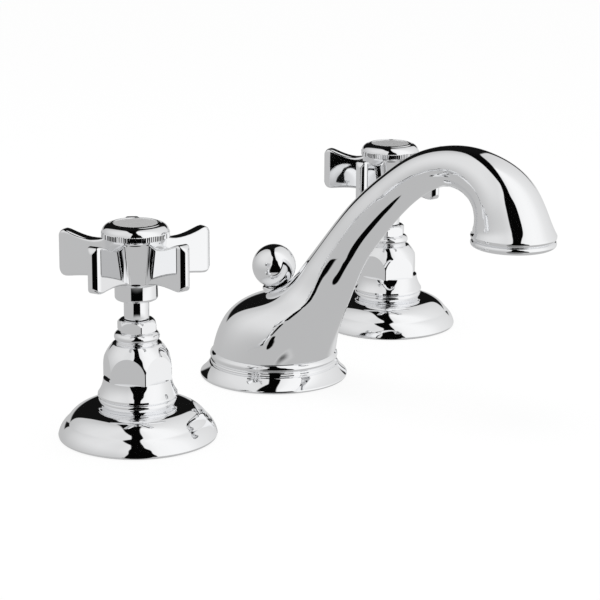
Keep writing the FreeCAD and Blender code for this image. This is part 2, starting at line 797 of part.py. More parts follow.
def handle_plan(name):
    """The handle's plan, as tall as the handle: a round hub with blades that widen to their ends."""
    height = hub_top() + size.blade_tip_rise - collar_bottom() + size.overrun
    body = document.addObject("PartDesign::Body", name)
    hub_sketch = sketch_on(body, "XY_Plane", f"{name}_hub_circle")
    circle = Part.Circle(FreeCAD.Vector(0, 0, 0), FreeCAD.Vector(0, 0, 1), size.hub_radius.number)
    round_hub = hub_sketch.addGeometry(circle, False)
    hub_sketch.addConstraint(Sketcher.Constraint("Coincident", round_hub, 3, -1, 1))
    number = hub_sketch.addConstraint(
        Sketcher.Constraint("Radius", round_hub, size.hub_radius.number))
    hub_sketch.setExpression(f"Constraints[{number}]", size.hub_radius.text)
    hub = body.newObject("PartDesign::Pad", f"{name}_hub")
    hub.Profile = hub_sketch
    bind(hub, Length=height)
    blade_sketch = sketch_on(body, "XY_Plane", f"{name}_blade_outline")
    tip, root = size.blade_tip_width / 2, size.blade_root_width / 2
    far = size.handle_radius
    rounding = size.blade_end_rounding
    draw_outline(blade_sketch, (
        (0, -root),
        (far - rounding, -tip, rounding * (1 - math.sqrt(0.5))),
        (far, rounding - tip),
        (far, tip - rounding, rounding * (1 - math.sqrt(0.5))),
        (far - rounding, tip),
        (0, root),
    ))
    blade = body.newObject("PartDesign::Pad", f"{name}_blade")
    blade.Profile = blade_sketch
    bind(blade, Length=height)
    blades = body.newObject("PartDesign::PolarPattern", f"{name}_blades")
    blades.Originals = [blade]
    blades.Axis = (blade_sketch, ["N_Axis"])
    blades.Angle = FULL_TURN
    bind(blades, Occurrences=size.blade_count)
    body.Tip = blades
    document.recompute()
    hollows = body.newObject("PartDesign::Fillet", f"{name}_hollows")
    hollows.Base = (blades, root_edges(blades.Shape))
    bind(hollows, Radius=size.blade_root_fillet)
    body.Tip = hollows
    place(body, z=collar_bottom())
    return body


def root_edges(shape):
    """Names of the upright edges where the blades leave the hub."""
    names = []
    for index, edge in enumerate(shape.Edges, start=1):
        if len(edge.Vertexes) != 2:
            continue
        first, last = (vertex.Point for vertex in edge.Vertexes)
        upright = math.hypot(first.x - last.x, first.y - last.y) < size.running_gap.number
        on_hub = abs(math.hypot(first.x, first.y) - size.hub_radius.number) < size.running_gap.number
        if upright and on_hub:
            names.append(f"Edge{index}")
    return names


def handle(name, x):
    """Cross handle: collar, hub and blades in one casting, bored for spindle, screw and cap."""
    crossing = combine("Common", f"{name}_casting", handle_elevation(f"{name}_elevation"),
                       handle_plan(f"{name}_plan"))
    web_high = screw_seat()
    web_low = web_high - size.hub_web
    bore = turned(f"{name}_bore", (
        (0, collar_bottom() - size.overrun),
        (size.spindle_spline_radius, collar_bottom() - size.overrun),
        (size.spindle_spline_radius, web_low),
        (size.screw_hole_radius, web_low),
        (size.screw_hole_radius, web_high),
        (size.hub_recess_radius, web_high),
        (size.hub_recess_radius, hub_top() + size.overrun),
        (0, hub_top() + size.overrun),
    ))
    whole = combine("Cut", name, crossing, bore)
    turn(whole, size.handle_turn)
    return keep(whole, name, x)


def handle_screw(name, x):
    """Screw that holds the handle on the spindle."""
    seat = screw_seat()
    top = seat + size.screw_head_height
    slot = top - size.screw_slot_depth
    outline = (
        (0, screw_tip()),
        (size.screw_radius, screw_tip()),
        (size.screw_radius, seat),
        (size.screw_head_radius, seat),
        (size.screw_head_radius, top),
        (size.screw_slot_radius, top),
        (size.screw_slot_radius, slot),
        (0, slot),
    )
    return keep(turned(name, outline), name, x)


def cap_top():
    return hub_top() + size.cap_rim_height


def handle_cap(name, x):
    """Domed cap with its knurled band, and a spigot that sits in the hub."""
    low = hub_top()
    band = low + size.cap_band_height
    seat = cap_top() - size.index_inset - size.index_thickness
    inner = size.cap_spigot_radius - size.cap_wall
    disc_seat = size.index_radius + size.running_gap
    outline = (
        (inner, low - size.cap_spigot_depth),
        (size.cap_spigot_radius, low - size.cap_spigot_depth),
        (size.cap_spigot_radius, low),
        (size.cap_radius, low),
        (size.cap_radius, band, size.cap_dome_bulge),
        (size.cap_rim_radius, cap_top()),
        (disc_seat, cap_top()),
        (disc_seat, seat),
        (inner, seat),
    )
    return keep(turned(name, outline), name, x)


def index_disc(name, x):
    """Plain disc in the cap."""
    high = cap_top() - size.index_inset
    return keep(cylinder(name, size.index_radius, high - size.index_thickness, high), name, x)


def valve_body(name, x, side):
    """Brass body: threaded neck through the deck, barrel, inlet tail and a port towards the spout."""
    top = size.valve_neck_top
    barrel_top = -size.valve_neck_depth
    barrel_low = barrel_top - size.valve_barrel_length
    tail = barrel_low - size.inlet_length
    port_height = barrel_top - size.valve_barrel_length / 2
    outside = turned(f"{name}_outside", (
        (0, tail),
        (size.inlet_radius, tail),
        (size.inlet_radius, barrel_low),
        (size.valve_barrel_radius, barrel_low),
        (size.valve_barrel_radius, barrel_top),
        (size.valve_neck_radius, barrel_top),
        (size.valve_neck_radius, top),
        (0, top),
    ))
    bore = size.cartridge_barrel_radius + size.seat_gap
    seat = barrel_bottom() - size.seat_seal_height
    gallery_low = disc_face() - size.gallery_height / 2
    waterway = turned(f"{name}_waterway", (
        (0, tail - size.overrun),
        (size.inlet_bore_radius, tail - size.overrun),
        (size.inlet_bore_radius, seat),
        (bore, seat),
        (bore, barrel_bottom()),
        (size.gallery_radius, barrel_bottom()),
        (size.gallery_radius, gallery_low + size.gallery_height),
        (bore, gallery_low + size.gallery_height),
        (bore, top + size.overrun),
        (0, top + size.overrun),
    ))
    port = cross_cylinder(f"{name}_port", size.outlet_port_radius, size.inlet_bore_radius,
                          size.outlet_port_reach, port_height, side)
    port_start = (size.inlet_bore_radius + size.return_hole_offset - size.return_hole_radius) / 2
    port_bore = cross_cylinder(f"{name}_port_bore", size.outlet_port_bore_radius, port_start,
                               size.outlet_port_reach + size.overrun, port_height, side)
    returns = []
    for step in (-1, 0, 1):
        angle = math.radians(size.return_hole_angle.number * step)
        turned_x = size.return_hole_offset * (math.cos(angle) * side)
        turned_y = size.return_hole_offset * math.sin(angle)
        returns.append(cylinder(f"{name}_return", size.return_hole_radius, port_height,
                                barrel_bottom() + size.overrun, turned_x, turned_y))
    collar = cross_cylinder(f"{name}_port_collar", size.port_collar_radius, size.inlet_bore_radius,
                            size.valve_barrel_radius + size.port_collar_reach, port_height, side)
    casting = combine("Fuse", f"{name}_casting", outside, port, collar)
    return keep(combine("Cut", name, casting, waterway, port_bore, *returns), name, x)


def under_deck_washers(prefix, radius, x):
    """Rubber washer, metal washer and backnut under the deck."""
    hole = radius + size.seat_gap
    rubber_top = -size.deck_thickness
    metal_top = rubber_top - size.rubber_washer_height
    nut_face = metal_top - size.metal_washer_height
    outer = size.washer_outer_radius
    plain_ring(f"{prefix}_rubber_washer", hole, outer, metal_top, rubber_top, x)
    plain_ring(f"{prefix}_metal_washer", hole, outer, nut_face, metal_top, x)
    low = nut_face - size.backnut_height
    bore = ring_outline(0, hole, low - size.overrun, nut_face + size.overrun)
    six_sided_nut(f"{prefix}_backnut", size.backnut_corner_radius, size.backnut_chamfer, bore,
                  low, nut_face, 0, x)


def side_valve(prefix, side, bell_turn):
    """Everything that stands on one side valve's axis."""
    x = size.valve_spacing / 2 * side
    foot = size.escutcheon_radius - size.escutcheon_foot_inset
    escutcheon(f"{prefix}_escutcheon", x)
    plain_ring(f"{prefix}_escutcheon_gasket", foot - size.gasket_inset - size.gasket_width,
               foot - size.gasket_inset, 0, size.gasket_thickness, x)
    valve_body(f"{prefix}_valve_body", x, -side)
    bead_ring(f"{prefix}_bead_ring", x)
    bonnet(f"{prefix}_bonnet", x, bell_turn)
    neck_ring(f"{prefix}_neck_ring", x)
    gland_nut(f"{prefix}_gland_nut", x, bell_turn)
    cartridge_body(f"{prefix}_cartridge_body", x)
    ceramic_disc(f"{prefix}_fixed_disc", size.disc_radius, barrel_bottom(), x, True)
    ceramic_disc(f"{prefix}_moving_disc", size.disc_radius - size.disc_edge_gap,
                 disc_face() + size.disc_face_gap, x, False)
    spindle(f"{prefix}_spindle", x)
    plain_ring(f"{prefix}_seat_seal", size.seat_seal_inner_radius, size.cartridge_barrel_radius,
               barrel_bottom() - size.seat_seal_height, barrel_bottom(), x)
    shaft = size.spindle_radius + size.running_gap
    seal_top = nut_top() - size.nut_roof - size.spindle_seal_depth
    plain_ring(f"{prefix}_spindle_seal", shaft, shaft + size.spindle_seal_width,
               seal_top - size.spindle_seal_height, seal_top, x)
    handle(f"{prefix}_handle", x)
    handle_screw(f"{prefix}_handle_screw", x)
    handle_cap(f"{prefix}_handle_cap", x)
    index_disc(f"{prefix}_index_disc", x)
    under_deck_washers(prefix, size.valve_neck_radius, x)


def neck_sections():
    """Centre, lean and radius of each section, from the foot to the mouth."""
    sections = []
    top = size.foot_height + size.neck_rise
    for forward, rise, lean, growth in FOOT_SHARES:
        sections.append((-(size.spout_reach * forward), size.foot_height + size.neck_rise * rise,
                         lean * HALF_TURN,
                         size.neck_radius + (size.foot_radius - size.neck_radius) * growth))
    for forward, fall, lean, growth in MOUTH_SHARES:
        sections.append((-(size.spout_reach * forward), top - size.mouth_drop * fall,
                         lean * HALF_TURN,
                         size.neck_radius + (size.mouth_radius - size.neck_radius) * growth))
    return sections


def neck_loft(name, sections, wall):
    """A smooth solid through round sections, smaller all round by a wall.

    Each row of the surface's points runs through the same corner of every section, so that the sections
    stay true circles, and each quarter of the round is a face of its own.
    """
    plain = [[float(as_size(value)) for value in section] for section in sections]
    centres = [FreeCAD.Vector(0, y, z) for y, z, _, _ in plain]
    tilts = [FreeCAD.Rotation(FreeCAD.Vector(1, 0, 0), lean) for _, _, lean, _ in plain]
    radii = [radius - wall for _, _, _, radius in plain]
    along = [0.0]
    for before, after in zip(centres, centres[1:]):
        along.append(along[-1] + before.distanceToPoint(after))
    rows = []
    for across, rear in SECTION_CORNERS:
        row = Part.BSplineCurve()
        row.interpolate(Points=[centre + tilt.multVec(FreeCAD.Vector(across, rear, 0)) * radius
                                for centre, tilt, radius in zip(centres, tilts, radii)],
                        Parameters=along)
        rows.append(row)
    faces = []
    for first in range(0, len(rows) - 1, 2):
        quarter = [row.getPoles() for row in rows[first:first + 3]]
        weights = [[weight] * len(quarter[0]) for weight in (1.0, CORNER_WEIGHT, 1.0)]
        surface = Part.BSplineSurface()
        surface.buildFromPolesMultsKnots(quarter, [3, 3], rows[first].getMultiplicities(), [0, 1],
                                         rows[first].getKnots(), False, False, 2, 3, weights)
        faces.append(surface.toShape())
    for end in (0, -1):
        circle = Part.Circle(centres[end], tilts[end].multVec(FreeCAD.Vector(0, 0, 1)), radii[end])
        faces.append(Part.Face(Part.Wire(circle.toShape())))
    skin = Part.makeCompound(faces)
    skin.sewShape(SEWING_GAP)
    solid = Part.Solid(Part.Shell(skin.Faces))
    if solid.Volume < 0:
        solid.reverse()
    loft = document.addObject("Part::Feature", name)
    loft.Shape = solid
    return loft


def mouth_edge():
    """Height of the spout's lower edge at the mouth."""
    return size.foot_height + size.neck_rise - size.mouth_drop - size.mouth_lip


def spout_body():
    """Hollow swan neck with its foot, boss and bored mouth."""
    name = "spout_body"
    low = size.foot_height
    edge = mouth_edge()
    floor_top = low + size.foot_floor
    thread = size.shank_radius + size.seat_gap
    sections = neck_sections()
    outside = neck_loft(f"{name}_outside", sections, 0)
    inside = neck_loft(f"{name}_inside", sections[:-1], size.spout_wall.number)
    lip = document.addObject("Part::Cone", f"{name}_lip")
    bind(lip, Radius1=size.mouth_radius - size.mouth_lip_inset, Radius2=size.mouth_radius,
         Height=size.mouth_lip)
    place(lip, y=-size.spout_reach, z=edge)
    floor = cylinder(f"{name}_floor", size.foot_radius - size.spout_wall / 2, low, floor_top)
    boss = cylinder(f"{name}_boss", size.foot_boss_radius, low, low + size.foot_boss_height)
    hull = combine("Fuse", f"{name}_hull", outside, lip)
    shell = combine("Cut", f"{name}_shell", hull, inside)
    filling = combine("Common", f"{name}_filling", combine("Fuse", f"{name}_base", floor, boss),
                      outside)
    casting = combine("Fuse", f"{name}_casting", shell, filling)
    thread_bore = cylinder(f"{name}_thread_bore", thread, low - size.overrun,
                           low + size.foot_boss_height + size.overrun)
    mouth_bore = cylinder(f"{name}_mouth_bore", size.mouth_bore_radius, edge - size.overrun,
                          edge + size.mouth_bore_depth, y=-size.spout_reach)
    collar_seat = guide_collar_seat()
    rod_hole = cylinder(f"{name}_rod_hole", size.guide_radius + size.seat_gap,
                        low + size.foot_boss_height, collar_seat + size.overrun)
    spot_face = cylinder(f"{name}_spot_face", size.guide_collar_radius + size.seat_gap,
                         collar_seat, size.knob_height)
    knob_room = document.addObject("Part::Sphere", f"{name}_knob_room")
    bind(knob_room, Radius=size.knob_radius + size.turning_gap)
    place(knob_room, z=size.knob_height)
    return keep(combine("Cut", name, casting, thread_bore, mouth_bore, rod_hole, spot_face,
                        knob_room), name)


def guide_top():
    """Top of the collar that the knob rests over."""
    return size.knob_height - size.knob_radius + size.knob_flat - size.turning_gap


def guide_collar_seat():
    return guide_top() - size.guide_collar_height


def rod_guide():
    """Tube that keeps the lift rod out of the water, with a bush at each end and a collar on the foot."""
    top = guide_top()
    seat = guide_collar_seat()
    low = -size.guide_depth
    bush = size.rod_radius + size.running_gap
    outline = (
        (bush, low),
        (size.guide_radius, low),
        (size.guide_radius, seat),
        (size.guide_collar_radius, seat),
        (size.guide_collar_radius, top),
        (bush, top),
        (bush, top - size.guide_bush_length),
        (size.guide_bore_radius, top - size.guide_bush_length),
        (size.guide_bore_radius, low + size.guide_bush_length),
        (bush, low + size.guide_bush_length),
    )
    return keep(turned("rod_guide", outline), "rod_guide")


def lift_rod():
    """Rod from the knob down to its threaded end under the deck."""
    top = size.knob_height - size.rod_hold
    low = -size.rod_depth
    shoulder = low + size.rod_end_length
    outline = (
        (0, low),
        (size.rod_end_radius, low),
        (size.rod_end_radius, shoulder),
        (size.rod_radius, shoulder),
        (size.rod_radius, top),
        (0, top),
    )
    return keep(turned("lift_rod", outline), "lift_rod")


def lift_knob():
    """Ball knob with a small flat and a blind hole for the rod."""
    ball = document.addObject("Part::Sphere", "lift_knob_ball")
    bind(ball, Radius=size.knob_radius)
    place(ball, z=size.knob_height)
    flat = size.knob_height - size.knob_radius + size.knob_flat
    under = cylinder("lift_knob_flat", size.knob_radius, flat - size.knob_radius, flat)
    hole = cylinder("lift_knob_hole", size.rod_radius, flat - size.overrun,
                    size.knob_height - size.rod_hold)
    return keep(combine("Cut", "lift_knob", ball, under, hole), "lift_knob")


def base_ring():
    """Flared deck ring with a fine and a large bead under the foot."""
    low = size.gasket_thickness
    wide = size.base_ring_radius
    edge = size.foot_edge_gap
    foot = wide - size.base_ring_foot_inset
    seat = foot - size.gasket_inset + size.seat_gap
    top = size.foot_height
    roof = top - size.base_ring_roof
    bead_radius = size.base_flare_top_radius - size.fine_bead_inset
    fine_top = size.base_flare_top + size.fine_bead_height
    inner = size.base_flare_top_radius - size.base_ring_wall
    bore = size.shank_radius + size.seat_gap
    outline = (
        (foot - size.base_ring_wall, low),
        (seat, low),
        (seat, edge),
        (foot, edge, size.base_ring_edge_bulge),
        (wide, edge + size.base_ring_edge, -size.base_flare_hollow),
        (size.base_flare_top_radius, size.base_flare_top),
        (bead_radius, size.base_flare_top, size.fine_bead_bulge),
        (size.foot_radius, fine_top, size.base_bead_bulge),
        (size.foot_radius, top),
        (bore, top),
        (bore, roof),
        (inner, roof),
    )
    return keep(turned("spout_base_ring", outline), "spout_base_ring")


def outlet():
    """Aerator housing, its insert and its seal in the mouth."""
    top = mouth_edge()
    low = top - size.outlet_ring_height
    sleeve = size.mouth_bore_radius - size.seat_gap
    bore = sleeve - size.outlet_sleeve_wall
    ring = turned("outlet_ring", (
        (bore, low),
        (size.outlet_ring_radius, low, size.outlet_ring_bulge),
        (size.outlet_ring_radius, top),
        (sleeve, top),
        (sleeve, top + size.outlet_sleeve_length),
        (bore, top + size.outlet_sleeve_length),
    ))
    keep(ring, "outlet_ring")
    place(ring, y=-size.spout_reach)
    insert_low = low + size.aerator_inset
    insert_top = insert_low + size.aerator_height
    insert = cylinder("aerator_insert_blank", bore, insert_low, insert_top)
    holes = []
    for row in range(AERATOR_RING_COUNT):
        count = max(1, AERATOR_HOLE_COUNT * row)
        for step in range(count):
            angle = 2 * math.pi * step / count
            hole = cylinder("aerator_hole", size.aerator_hole_radius, insert_low - size.overrun,
                            insert_top + size.overrun,
                            size.aerator_hole_pitch * (row * math.cos(angle)),
                            size.aerator_hole_pitch * (row * math.sin(angle)))
            holes.append(hole)
    mesh = keep(combine("Cut", "aerator_insert", insert, *holes), "aerator_insert")
    place(mesh, y=-size.spout_reach)
    seal = plain_ring("aerator_seal", bore - size.aerator_seal_width, bore, insert_top,
                      insert_top + size.aerator_seal_height)
    place(seal, y=-size.spout_reach)


def shank():
    """Threaded shank with its seal, and the inlet tee at its end."""
    top = size.shank_top
    low = -size.shank_depth
    keep(turned("spout_shank", ring_outline(size.shank_bore_radius, size.shank_radius, low, top)),
         "spout_shank")
    roof = size.foot_height - size.base_ring_roof
    inner = size.shank_radius + size.seat_gap
    plain_ring("shank_seal", inner, inner + size.shank_seal_width,
               roof - size.shank_seal_height, roof)
    tee_top = low + size.tee_cover
    chamber_low = low - size.tee_chamber
    floor = chamber_low - size.tee_floor
    port_height = low - size.tee_chamber / 2
    guide_hole = size.guide_radius + size.seat_gap
    barrel = cylinder("inlet_tee_barrel", size.tee_radius, floor, tee_top)
    ports = []
    bores = []
    for side in (-1, 1):
        ports.append(cross_cylinder("inlet_tee_port", size.outlet_port_radius, 0,
                                    size.tee_port_reach, port_height, side))
        ports.append(cross_cylinder("inlet_tee_port_collar", size.port_collar_radius, 0,
                                    size.tee_radius + size.port_collar_reach, port_height, side))
        bores.append(cross_cylinder("inlet_tee_port_bore", size.outlet_port_bore_radius, 0,
                                    size.tee_port_reach + size.overrun, port_height, side))
    inside = turned("inlet_tee_inside", (
        (0, floor - size.overrun),
        (guide_hole, floor - size.overrun),
        (guide_hole, chamber_low),
        (inner, chamber_low),
        (inner, tee_top + size.overrun),
        (0, tee_top + size.overrun),
    ))
    outside = combine("Fuse", "inlet_tee_outside", barrel, *ports)
    keep(combine("Cut", "inlet_tee", outside, inside, *bores), "inlet_tee")


def spout_group():
    """Everything that stands on the spout's axis."""
    foot = size.base_ring_radius - size.base_ring_foot_inset
    spout_body()
    base_ring()
    plain_ring("spout_base_gasket", foot - size.gasket_inset - size.gasket_width,
               foot - size.gasket_inset, 0, size.gasket_thickness)
    outlet()
    rod_guide()
    lift_rod()
    lift_knob()
    shank()
    under_deck_washers("spout", size.shank_radius, 0)


def check_model():
    """Stop if a feature failed or a sub-part has no sound shape."""
    for feature in document.Objects:
        bad = [state for state in feature.State if state in ("Invalid", "Error")]
        if bad:
            raise RuntimeError(f"{feature.Name} ({feature.Label}) is {bad}")
    for piece in pieces:
        if piece.Shape.isNull() or not piece.Shape.isValid() or not piece.Shape.Solids:
            raise RuntimeError(f"{piece.Label} has no sound solid")


def write_parts():
    """Write one STEP file for each sub-part."""
    os.makedirs("parts", exist_ok=True)
    for piece in pieces:
        piece.Shape.exportStep(os.path.join("parts", f"{piece.Label}.step"))
        print(piece.Label, len(piece.Shape.Solids), round(piece.Shape.Volume, 1))


spout_group()
for side_name, side_sign in SIDES:
    side_valve(side_name, side_sign, getattr(size, f"{side_name}_bell_turn"))
document.recompute()
check_model()
write_parts()
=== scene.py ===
"""Visual model of a three-hole basin mixer with five-bladed cross handles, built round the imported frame."""

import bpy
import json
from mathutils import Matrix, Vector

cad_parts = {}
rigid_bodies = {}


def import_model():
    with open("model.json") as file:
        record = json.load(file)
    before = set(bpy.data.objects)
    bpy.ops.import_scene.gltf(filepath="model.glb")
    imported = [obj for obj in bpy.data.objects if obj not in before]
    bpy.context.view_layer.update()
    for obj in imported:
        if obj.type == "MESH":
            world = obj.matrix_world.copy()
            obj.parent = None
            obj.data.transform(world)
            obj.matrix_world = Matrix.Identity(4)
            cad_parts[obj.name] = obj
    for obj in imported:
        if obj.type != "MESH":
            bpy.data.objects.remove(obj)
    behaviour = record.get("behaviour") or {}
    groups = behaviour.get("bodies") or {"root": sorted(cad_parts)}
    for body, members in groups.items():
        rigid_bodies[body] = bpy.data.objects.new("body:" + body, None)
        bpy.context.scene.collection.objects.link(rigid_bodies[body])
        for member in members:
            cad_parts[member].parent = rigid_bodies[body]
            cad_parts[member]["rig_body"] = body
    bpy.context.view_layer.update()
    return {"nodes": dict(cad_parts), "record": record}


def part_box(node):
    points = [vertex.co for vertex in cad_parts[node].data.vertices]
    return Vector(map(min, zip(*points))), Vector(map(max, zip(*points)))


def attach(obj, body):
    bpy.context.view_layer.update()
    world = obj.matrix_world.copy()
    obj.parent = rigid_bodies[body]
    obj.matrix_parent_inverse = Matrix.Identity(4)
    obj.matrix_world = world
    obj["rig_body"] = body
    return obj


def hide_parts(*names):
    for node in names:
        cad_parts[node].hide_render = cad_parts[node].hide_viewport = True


bl_info = {
    "name": "Three-hole Basin Mixer",
    "version": (1, 0, 0),
    "blender": (4, 5, 0),
    "location": "View3D > Sidebar > Mixer",
    "description": "Chrome three-hole basin mixer with a swan-neck spout and two cross handles",
    "category": "Object",
}

import json
import math

import bmesh
import bpy
import numpy as np
from mathutils import Matrix, Vector

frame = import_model()

MM = 0.001
FULL_TURN = 2 * math.pi
QUARTER_TURN = math.pi / 2
UP = Vector((0, 0, 1))
# Points this near to each other are one, in millimetres
MERGE_GAP = 0.0005

SIDES = (("hot", -1), ("cold", 1))
SLOTS = {row["node"]: row["material_slot"] for row in frame["record"]["subparts"]}


def node_centre(node):
    """Middle of a node's box, in millimetres."""
    low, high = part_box(node)
    return (low + high) / 2 / MM


def node_low(node):
    """Lowest height of a node, in millimetres."""
    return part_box(node)[0].z / MM


def node_high(node):
    """Greatest height of a node, in millimetres."""
    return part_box(node)[1].z / MM


VALVE_OFFSET = node_centre("cold_escutcheon").x
MOUTH_Y = node_centre("outlet_ring").y


# Outlines of turned pieces in millimetres: radius, height, bulge of the line that leaves the point, and
# rounding of the corner at the point
ESCUTCHEON = (
    (25.0, 0.9, 0, 0),
    (30.5, 0.9, 0, 0),
    (30.5, 0.35, 0, 0),
    (31.35, 0.35, 0, 0.15),
    (31.6, 1.2, 0.62, 0),
    (27.9, 7.2, 2.05, 0),
    (15.6, 12.9, -0.12, 0),
    (13.7, 13.6, 0, 0),
    (13.3, 13.6, 0, 0),
    (13.3, 11.0, 0, 0),
    (25.0, 5.5, 0, 0),
)
BEAD_RING = (
    (13.3, 13.2, 0, 0),
    (13.75, 13.3, 0.78, 0),
    (15.3, 16.2, 0, 0.2),
    (14.8, 16.6, 0, 0),
    (14.8, 17.9, 0, 0),
    (13.3, 17.9, 0, 0),
)
SKIRT = (
    (0, 16.7, 0, 0),
    (15.3, 16.7, 0, 0.1),
    (15.85, 17.1, 0, 0.15),
    (15.75, 18.0, -0.5, 0),
    (13.55, 24.2, 0, 0.15),
    (13.0, 24.4, 0, 0),
    (0, 24.4, 0, 0),
)
BELL = (
    (0, 24.0, 0, 0),
    (14.2, 24.0, 0, 0),
    (14.2, 27.0, 1.15, 0),
    (9.6, 38.4, 0, 0.3),
    (8.6, 38.6, 0, 0),
    (0, 38.6, 0, 0),
)
NECK_RING = (
    (0, 38.3, 0, 0),
    (8.3, 38.3, 0, 0),
    (8.2, 38.9, -0.1, 0),
    (7.9, 39.3, 1.28, 0),
    (7.6, 43.1, 0, 0.15),
    (7.2, 43.3, 0, 0),
    (0, 43.3, 0, 0),
)
GLAND_NUT = (
    (4.2, 43.3, 0, 0),
    (7.35, 43.3, 0, 0),
    (8.05, 43.8, 0, 0.3),
    (8.05, 45.9, 0.3, 0),
    (6.3, 48.1, 0, 0.15),
    (4.2, 48.1, 0, 0),
)
SPINDLE = (
    (0, 5.05, 0, 0),
    (6.6, 5.05, 0, 0),
    (6.6, 6.75, 0, 0),
    (3.4, 6.75, 0, 0),
    (3.4, 48.4, 0, 0),
    (5.0, 48.4, 0, 0.15),
    (5.0, 56.1, 0, 0),
    (3.95, 56.1, 0, 0),
    (3.95, 68.1, 0, 0),
    (0, 68.1, 0, 0),
)
HUB = (
    (3.95, 56.1, 0, 0),
    (7.9, 56.1, 0, 0.3),
    (8.5, 56.8, 0, 0.4),
    (8.5, 62.6, 0, 0.2),
    (9.55, 63.2, 0, 0.3),
    (9.9, 64.4, 0, 0.3),
    (11.9, 79.6, -0.1, 0),
    (12.7, 81.1, 0, 0),
    (9.2, 81.2, 0, 0),
    (9.2, 71.1, 0, 0),
    (3.95, 71.1, 0, 0),
)
CAP = (
    (9.1, 77.2, 0, 0),
    (9.1, 81.2, 0, 0),
    (12.9, 81.2, 0, 0),
    (13.4, 81.35, 0, 0),
    (13.4, 83.2, 0, 0),
    (13.15, 83.4, 0.72, 0),
    (10.2, 86.25, 0.08, 0),
    (9.1, 86.65, 0, 0),
    (8.85, 86.65, 0, 0),
    (8.72, 86.5, 0, 0),
    (8.72, 85.0, 0, 0),
    (7.5, 85.0, 0, 0),
    (7.5, 77.2, 0, 0),
)
INDEX_DISC = (
    (0, 85.0, 0, 0),
    (8.65, 85.0, 0, 0),
    (8.65, 86.25, 0, 0.1),
    (8.5, 86.4, 0, 0),
    (0, 86.4, 0, 0),
)
BASE_RING = (
    (24.0, 0.9, 0, 0),
    (30.4, 0.9, 0, 0),
    (30.4, 0.35, 0, 0),
    (31.6, 0.35, 0, 0.15),
    (32.0, 1.0, 0, 0.25),
    (31.85, 1.6, -0.3, 0),
    (28.0, 6.1, 0, 0.15),
    (27.4, 6.25, 0, 0),
    (27.35, 6.45, 0.45, 0),
    (26.95, 7.9, 0, 0),
    (26.85, 8.1, 0.85, 0),
    (26.85, 11.3, 0, 0),
    (26.4, 11.8, 0, 0),
    (13.1, 11.8, 0, 0),
    (13.1, 8.8, 0, 0),
    (24.0, 8.8, 0, 0),
)
OUTLET_RING = (
    (11.0, 72.1, 0, 0.3),
    (15.9, 72.1, 0, 0.5),
    (16.95, 72.75, 0.42, 0),
    (16.95, 74.85, 0, 0.15),
    (16.3, 75.2, 0, 0),
    (12.65, 75.2, 0, 0),
    (12.65, 82.8, 0, 0),
    (11.0, 82.8, 0, 0),
)
ROD_GUIDE = (
    (2.55, -92.0, 0, 0),
    (4.2, -92.0, 0, 0.3),
    (4.2, 38.3, 0, 0),
    (4.9, 38.3, 0, 0),
    (4.9, 39.2, 0, 0.15),
    (4.7, 39.4, 0, 0),
    (2.55, 39.4, 0, 0),
)


class MixerFinish(bpy.types.PropertyGroup):
    """Colours and smoothness of the finishes."""

    chrome_colour: bpy.props.FloatVectorProperty(
        name="Chrome", description="Colour of the plating", size=3, subtype="COLOR",
        default=(0.93, 0.935, 0.945), min=0, max=1)
    chrome_roughness: bpy.props.FloatProperty(
        name="Chrome Roughness", description="Middle roughness of the plating", default=0.025,
        min=0, max=1, subtype="FACTOR")
    brass_colour: bpy.props.FloatVectorProperty(
        name="Brass", description="Colour of the bare castings", size=3, subtype="COLOR",
        default=(0.72, 0.53, 0.27), min=0, max=1)
    rubber_colour: bpy.props.FloatVectorProperty(
        name="Rubber", description="Colour of washers and seals", size=3, subtype="COLOR",
        default=(0.022, 0.022, 0.023), min=0, max=1)
    steel_colour: bpy.props.FloatVectorProperty(
        name="Steel", description="Colour of the zinc-plated washers", size=3, subtype="COLOR",
        default=(0.58, 0.585, 0.57), min=0, max=1)
    index_colour: bpy.props.FloatVectorProperty(
        name="Index Disc", description="Colour of the glazed discs in the caps", size=3,
        subtype="COLOR", default=(0.80, 0.80, 0.80), min=0, max=1)


class MixerHandle(bpy.types.PropertyGroup):
    """Shape of the cross handles."""

    rib_count: bpy.props.IntProperty(
        name="Ribs", description="Ribs round the cap's band", default=99, min=24, max=160)
    rib_depth: bpy.props.FloatProperty(
        name="Rib Depth", description="Depth of the grooves between the ribs", default=0.00032,
        min=0, max=0.001, unit="LENGTH", precision=5)
    blade_count: bpy.props.IntProperty(
        name="Blades", description="Blades round the hub", default=5, min=3, max=8)
    first_blade: bpy.props.FloatProperty(
        name="First Blade", description="Turn of the first blade", default=math.radians(39),
        unit="ROTATION")


class MixerStudio(bpy.types.PropertyGroup):
    """Camera and light of the stage."""

    camera_azimuth: bpy.props.FloatProperty(
        name="Azimuth", description="Camera's turn about the object", default=math.radians(-58.17),
        unit="ROTATION")
    camera_elevation: bpy.props.FloatProperty(
        name="Elevation", description="Camera's height angle", default=math.radians(14.91),
        unit="ROTATION")
    camera_roll: bpy.props.FloatProperty(
        name="Roll", description="Camera's tilt about its own line of sight",
        default=math.radians(0.39), unit="ROTATION")
    camera_distance: bpy.props.FloatProperty(
        name="Distance", description="Camera to its target", default=0.92749, min=0.1,
        unit="LENGTH")
    camera_lens: bpy.props.FloatProperty(
        name="Lens", description="Focal length in millimetres", default=127.37, min=10)
    target_right: bpy.props.FloatProperty(
        name="Target Right", description="Target's offset to the right of the spout's foot",
        default=0.01151, unit="LENGTH")
    target_up: bpy.props.FloatProperty(
        name="Target Up", description="Target's offset above the spout's foot", default=0.03211,
        unit="LENGTH")
    lamp_power: bpy.props.FloatProperty(
        name="Lamp Power", description="Power of the soft overhead lamp in watts", default=2.2,
        min=0)
    surround_level: bpy.props.FloatProperty(
        name="Surround", description="Strength of the even light from all round", default=0.75,
        min=0)


